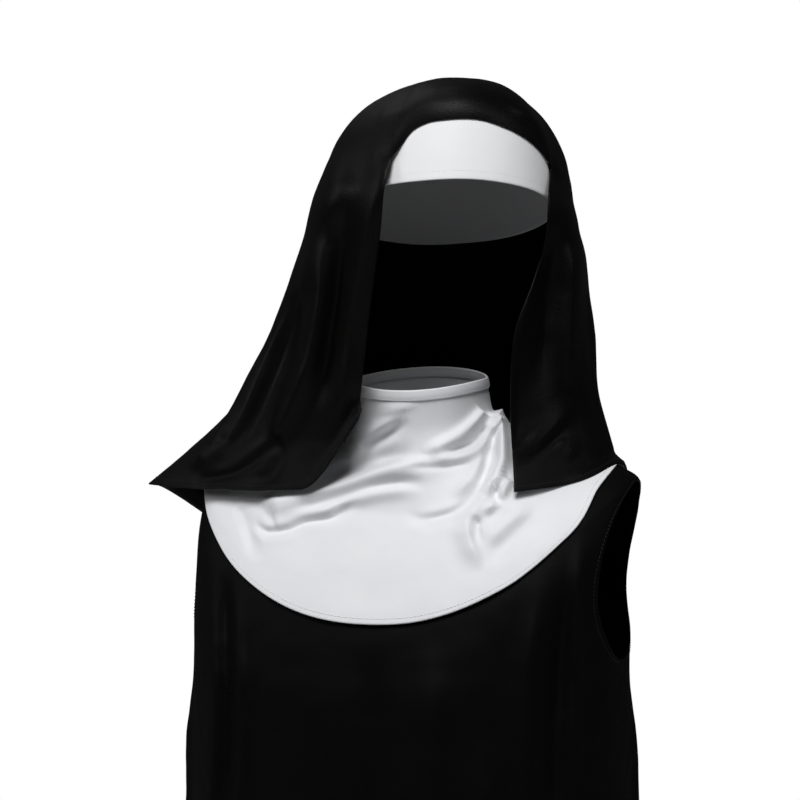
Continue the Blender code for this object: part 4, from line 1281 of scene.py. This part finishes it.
armhole_rows = slice(STRAP_ROWS, STRAP_ROWS + ARMHOLE_ROWS)
stitch_lines = {
    "tunic_hem_stitches": [
        line_beside(grid, row_at(grid, TUNIC_HEM_DEPTH)) for grid in TUNIC_GRIDS.values()
    ],
    "armhole_stitches": [
        line_beside(grid, edge, axis=1)[armhole_rows]
        for grid in TUNIC_GRIDS.values()
        for edge in ARMHOLE_COLUMNS
    ],
    "veil_hem_stitches": [line_beside(hanging, row_at(hanging, VEIL_HEM_DEPTH))],
    "bib_hem_stitches": [loop(line_beside(wide, BIB_HEM_ROW)[ONCE])],
    "binding_stitches": [loop(binding_grid()[BINDING_ROW] + collar_out[0] * 0.0001)],
    "band_stitches": [loop(band_grid()[BAND_ROW])],
}
stitches = {row.name: stitch_row(row, stitch_lines[row.name]) for row in STITCH_ROWS}

# %% [markdown]
# ## Floor and light
# The habit hangs where it is worn, over a plain pale floor. Big soft lights, as in a studio,
# show the folds: the main one stands high, a little to the left of the camera, and weaker ones
# light both sides.
# %% Floor and lights
FLOOR_HEIGHT = -1.36
FLOOR_RADIUS = 4.0
FLOOR_SIDES = 64
FLOOR_COLOUR = (0.86, 0.86, 0.86)
FLOOR_ROUGHNESS = 0.8

floor_finish = bpy.data.materials.new("pale_floor")
floor_finish.use_nodes = True
feed(
    floor_finish.node_tree,
    floor_finish.node_tree.nodes["Principled BSDF"],
    {"Base Color": (*FLOOR_COLOUR, 1.0), "Roughness": FLOOR_ROUGHNESS},
)
mesh = bpy.data.meshes.new("floor")
angles = np.linspace(0, 2 * math.pi, FLOOR_SIDES + 1)[:-1]
ring = [(FLOOR_RADIUS * math.cos(a), FLOOR_RADIUS * math.sin(a), FLOOR_HEIGHT) for a in angles]
mesh.from_pydata(ring, [], [list(range(FLOOR_SIDES))])
mesh.materials.append(floor_finish)
floor = add_object("floor", mesh)

Lamp = namedtuple("Lamp", "name turn rise distance size power")
LAMPS = [
    Lamp("main_light", 8, 51, 2.4, 1.1, 49.5),
    Lamp("left_light", -66, 20, 2.5, 0.8, 10.0),
    Lamp("right_light", 80, 24, 2.4, 0.8, 7.0),
    Lamp("top_light", 10, 80, 2.2, 1.0, 0.3),
    Lamp("back_light", 235, 50, 2.6, 1.4, 5.0),
]
LAMPS_AIM = Vector((0, 0, 0.05))
for lamp in LAMPS:
    light = bpy.data.lights.new(lamp.name, "AREA")
    light.size = lamp.size
    light.energy = lamp.power
    holder = add_object(lamp.name, light)
    turn, rise = math.radians(lamp.turn), math.radians(lamp.rise)
    level = math.cos(rise)
    way = Vector((math.sin(turn) * level, -math.cos(turn) * level, math.sin(rise)))
    holder.location = LAMPS_AIM + way * lamp.distance
    holder.rotation_euler = way.to_track_quat("Z", "Y").to_euler()

world = bpy.data.worlds.new("studio")
bpy.context.scene.world = world
world.use_nodes = True
tree = world.node_tree
tree.nodes.clear()
rays = add_node(tree, "ShaderNodeLightPath")
soft = add_node(tree, "ShaderNodeBackground", {"Color": (0.95, 0.97, 1.0, 1.0), "Strength": 0.03})
seen = add_node(tree, "ShaderNodeBackground", {"Color": (1.0, 1.0, 1.0, 1.0), "Strength": 1.0})
skies = {0: rays.outputs["Is Camera Ray"], 1: soft.outputs[0], 2: seen.outputs[0]}
sky = add_node(tree, "ShaderNodeMixShader", skies)
add_node(tree, "ShaderNodeOutputWorld", {"Surface": sky.outputs[0]})
bpy.context.scene.view_settings.view_transform = "Standard"
print("lights:", len(LAMPS))

# %% [markdown]
# ## What each piece stands for
# Each sheet replaces its solid, which is hidden, and hangs from the root with the stitches. The
# table lists the flat size of the cut that shows, and the area each sheet measures is printed.
# %% Sheets in place of the solids
Sheet = namedtuple("Sheet", "piece node slot width length area held rests_on with_pieces")
SHEETS = [
    Sheet(tunic_pieces["tunic_front"], "tunic_front", "black_tunic", 0.86, 1.36, 0.95, "hung",
          [], [stitches["tunic_hem_stitches"], stitches["armhole_stitches"]]),
    Sheet(tunic_pieces["tunic_back"], "tunic_back", "black_tunic", 0.84, 1.36, 0.92, "hung",
          [], []),
    Sheet(collar_piece, "collar", "white_knit", 0.36, 0.36, 0.105, "draped",
          list(tunic_pieces.values()), [stitches["bib_hem_stitches"]]),
    Sheet(binding_piece, "collar_binding", "white_knit", 0.31, 0.016, None, "stretched",
          [collar_piece], [stitches["binding_stitches"]]),
    Sheet(band_piece, "headband", "white_band", 0.54, 0.105, None, "stretched",
          [], [stitches["band_stitches"]]),
    Sheet(veil_piece, "veil", "black_veil", 0.72, 0.52, 0.235, "draped",
          [band_piece, collar_piece, *tunic_pieces.values()], [stitches["veil_hem_stitches"]]),
]
for row in STITCH_ROWS:
    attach(stitches[row.name], "root")
for sheet in SHEETS:
    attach(sheet.piece, "root")
    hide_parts(sheet.node)
    measured = sum(face.area for face in sheet.piece.data.polygons)
    print(sheet.node, "measures %.3f square metres" % measured)
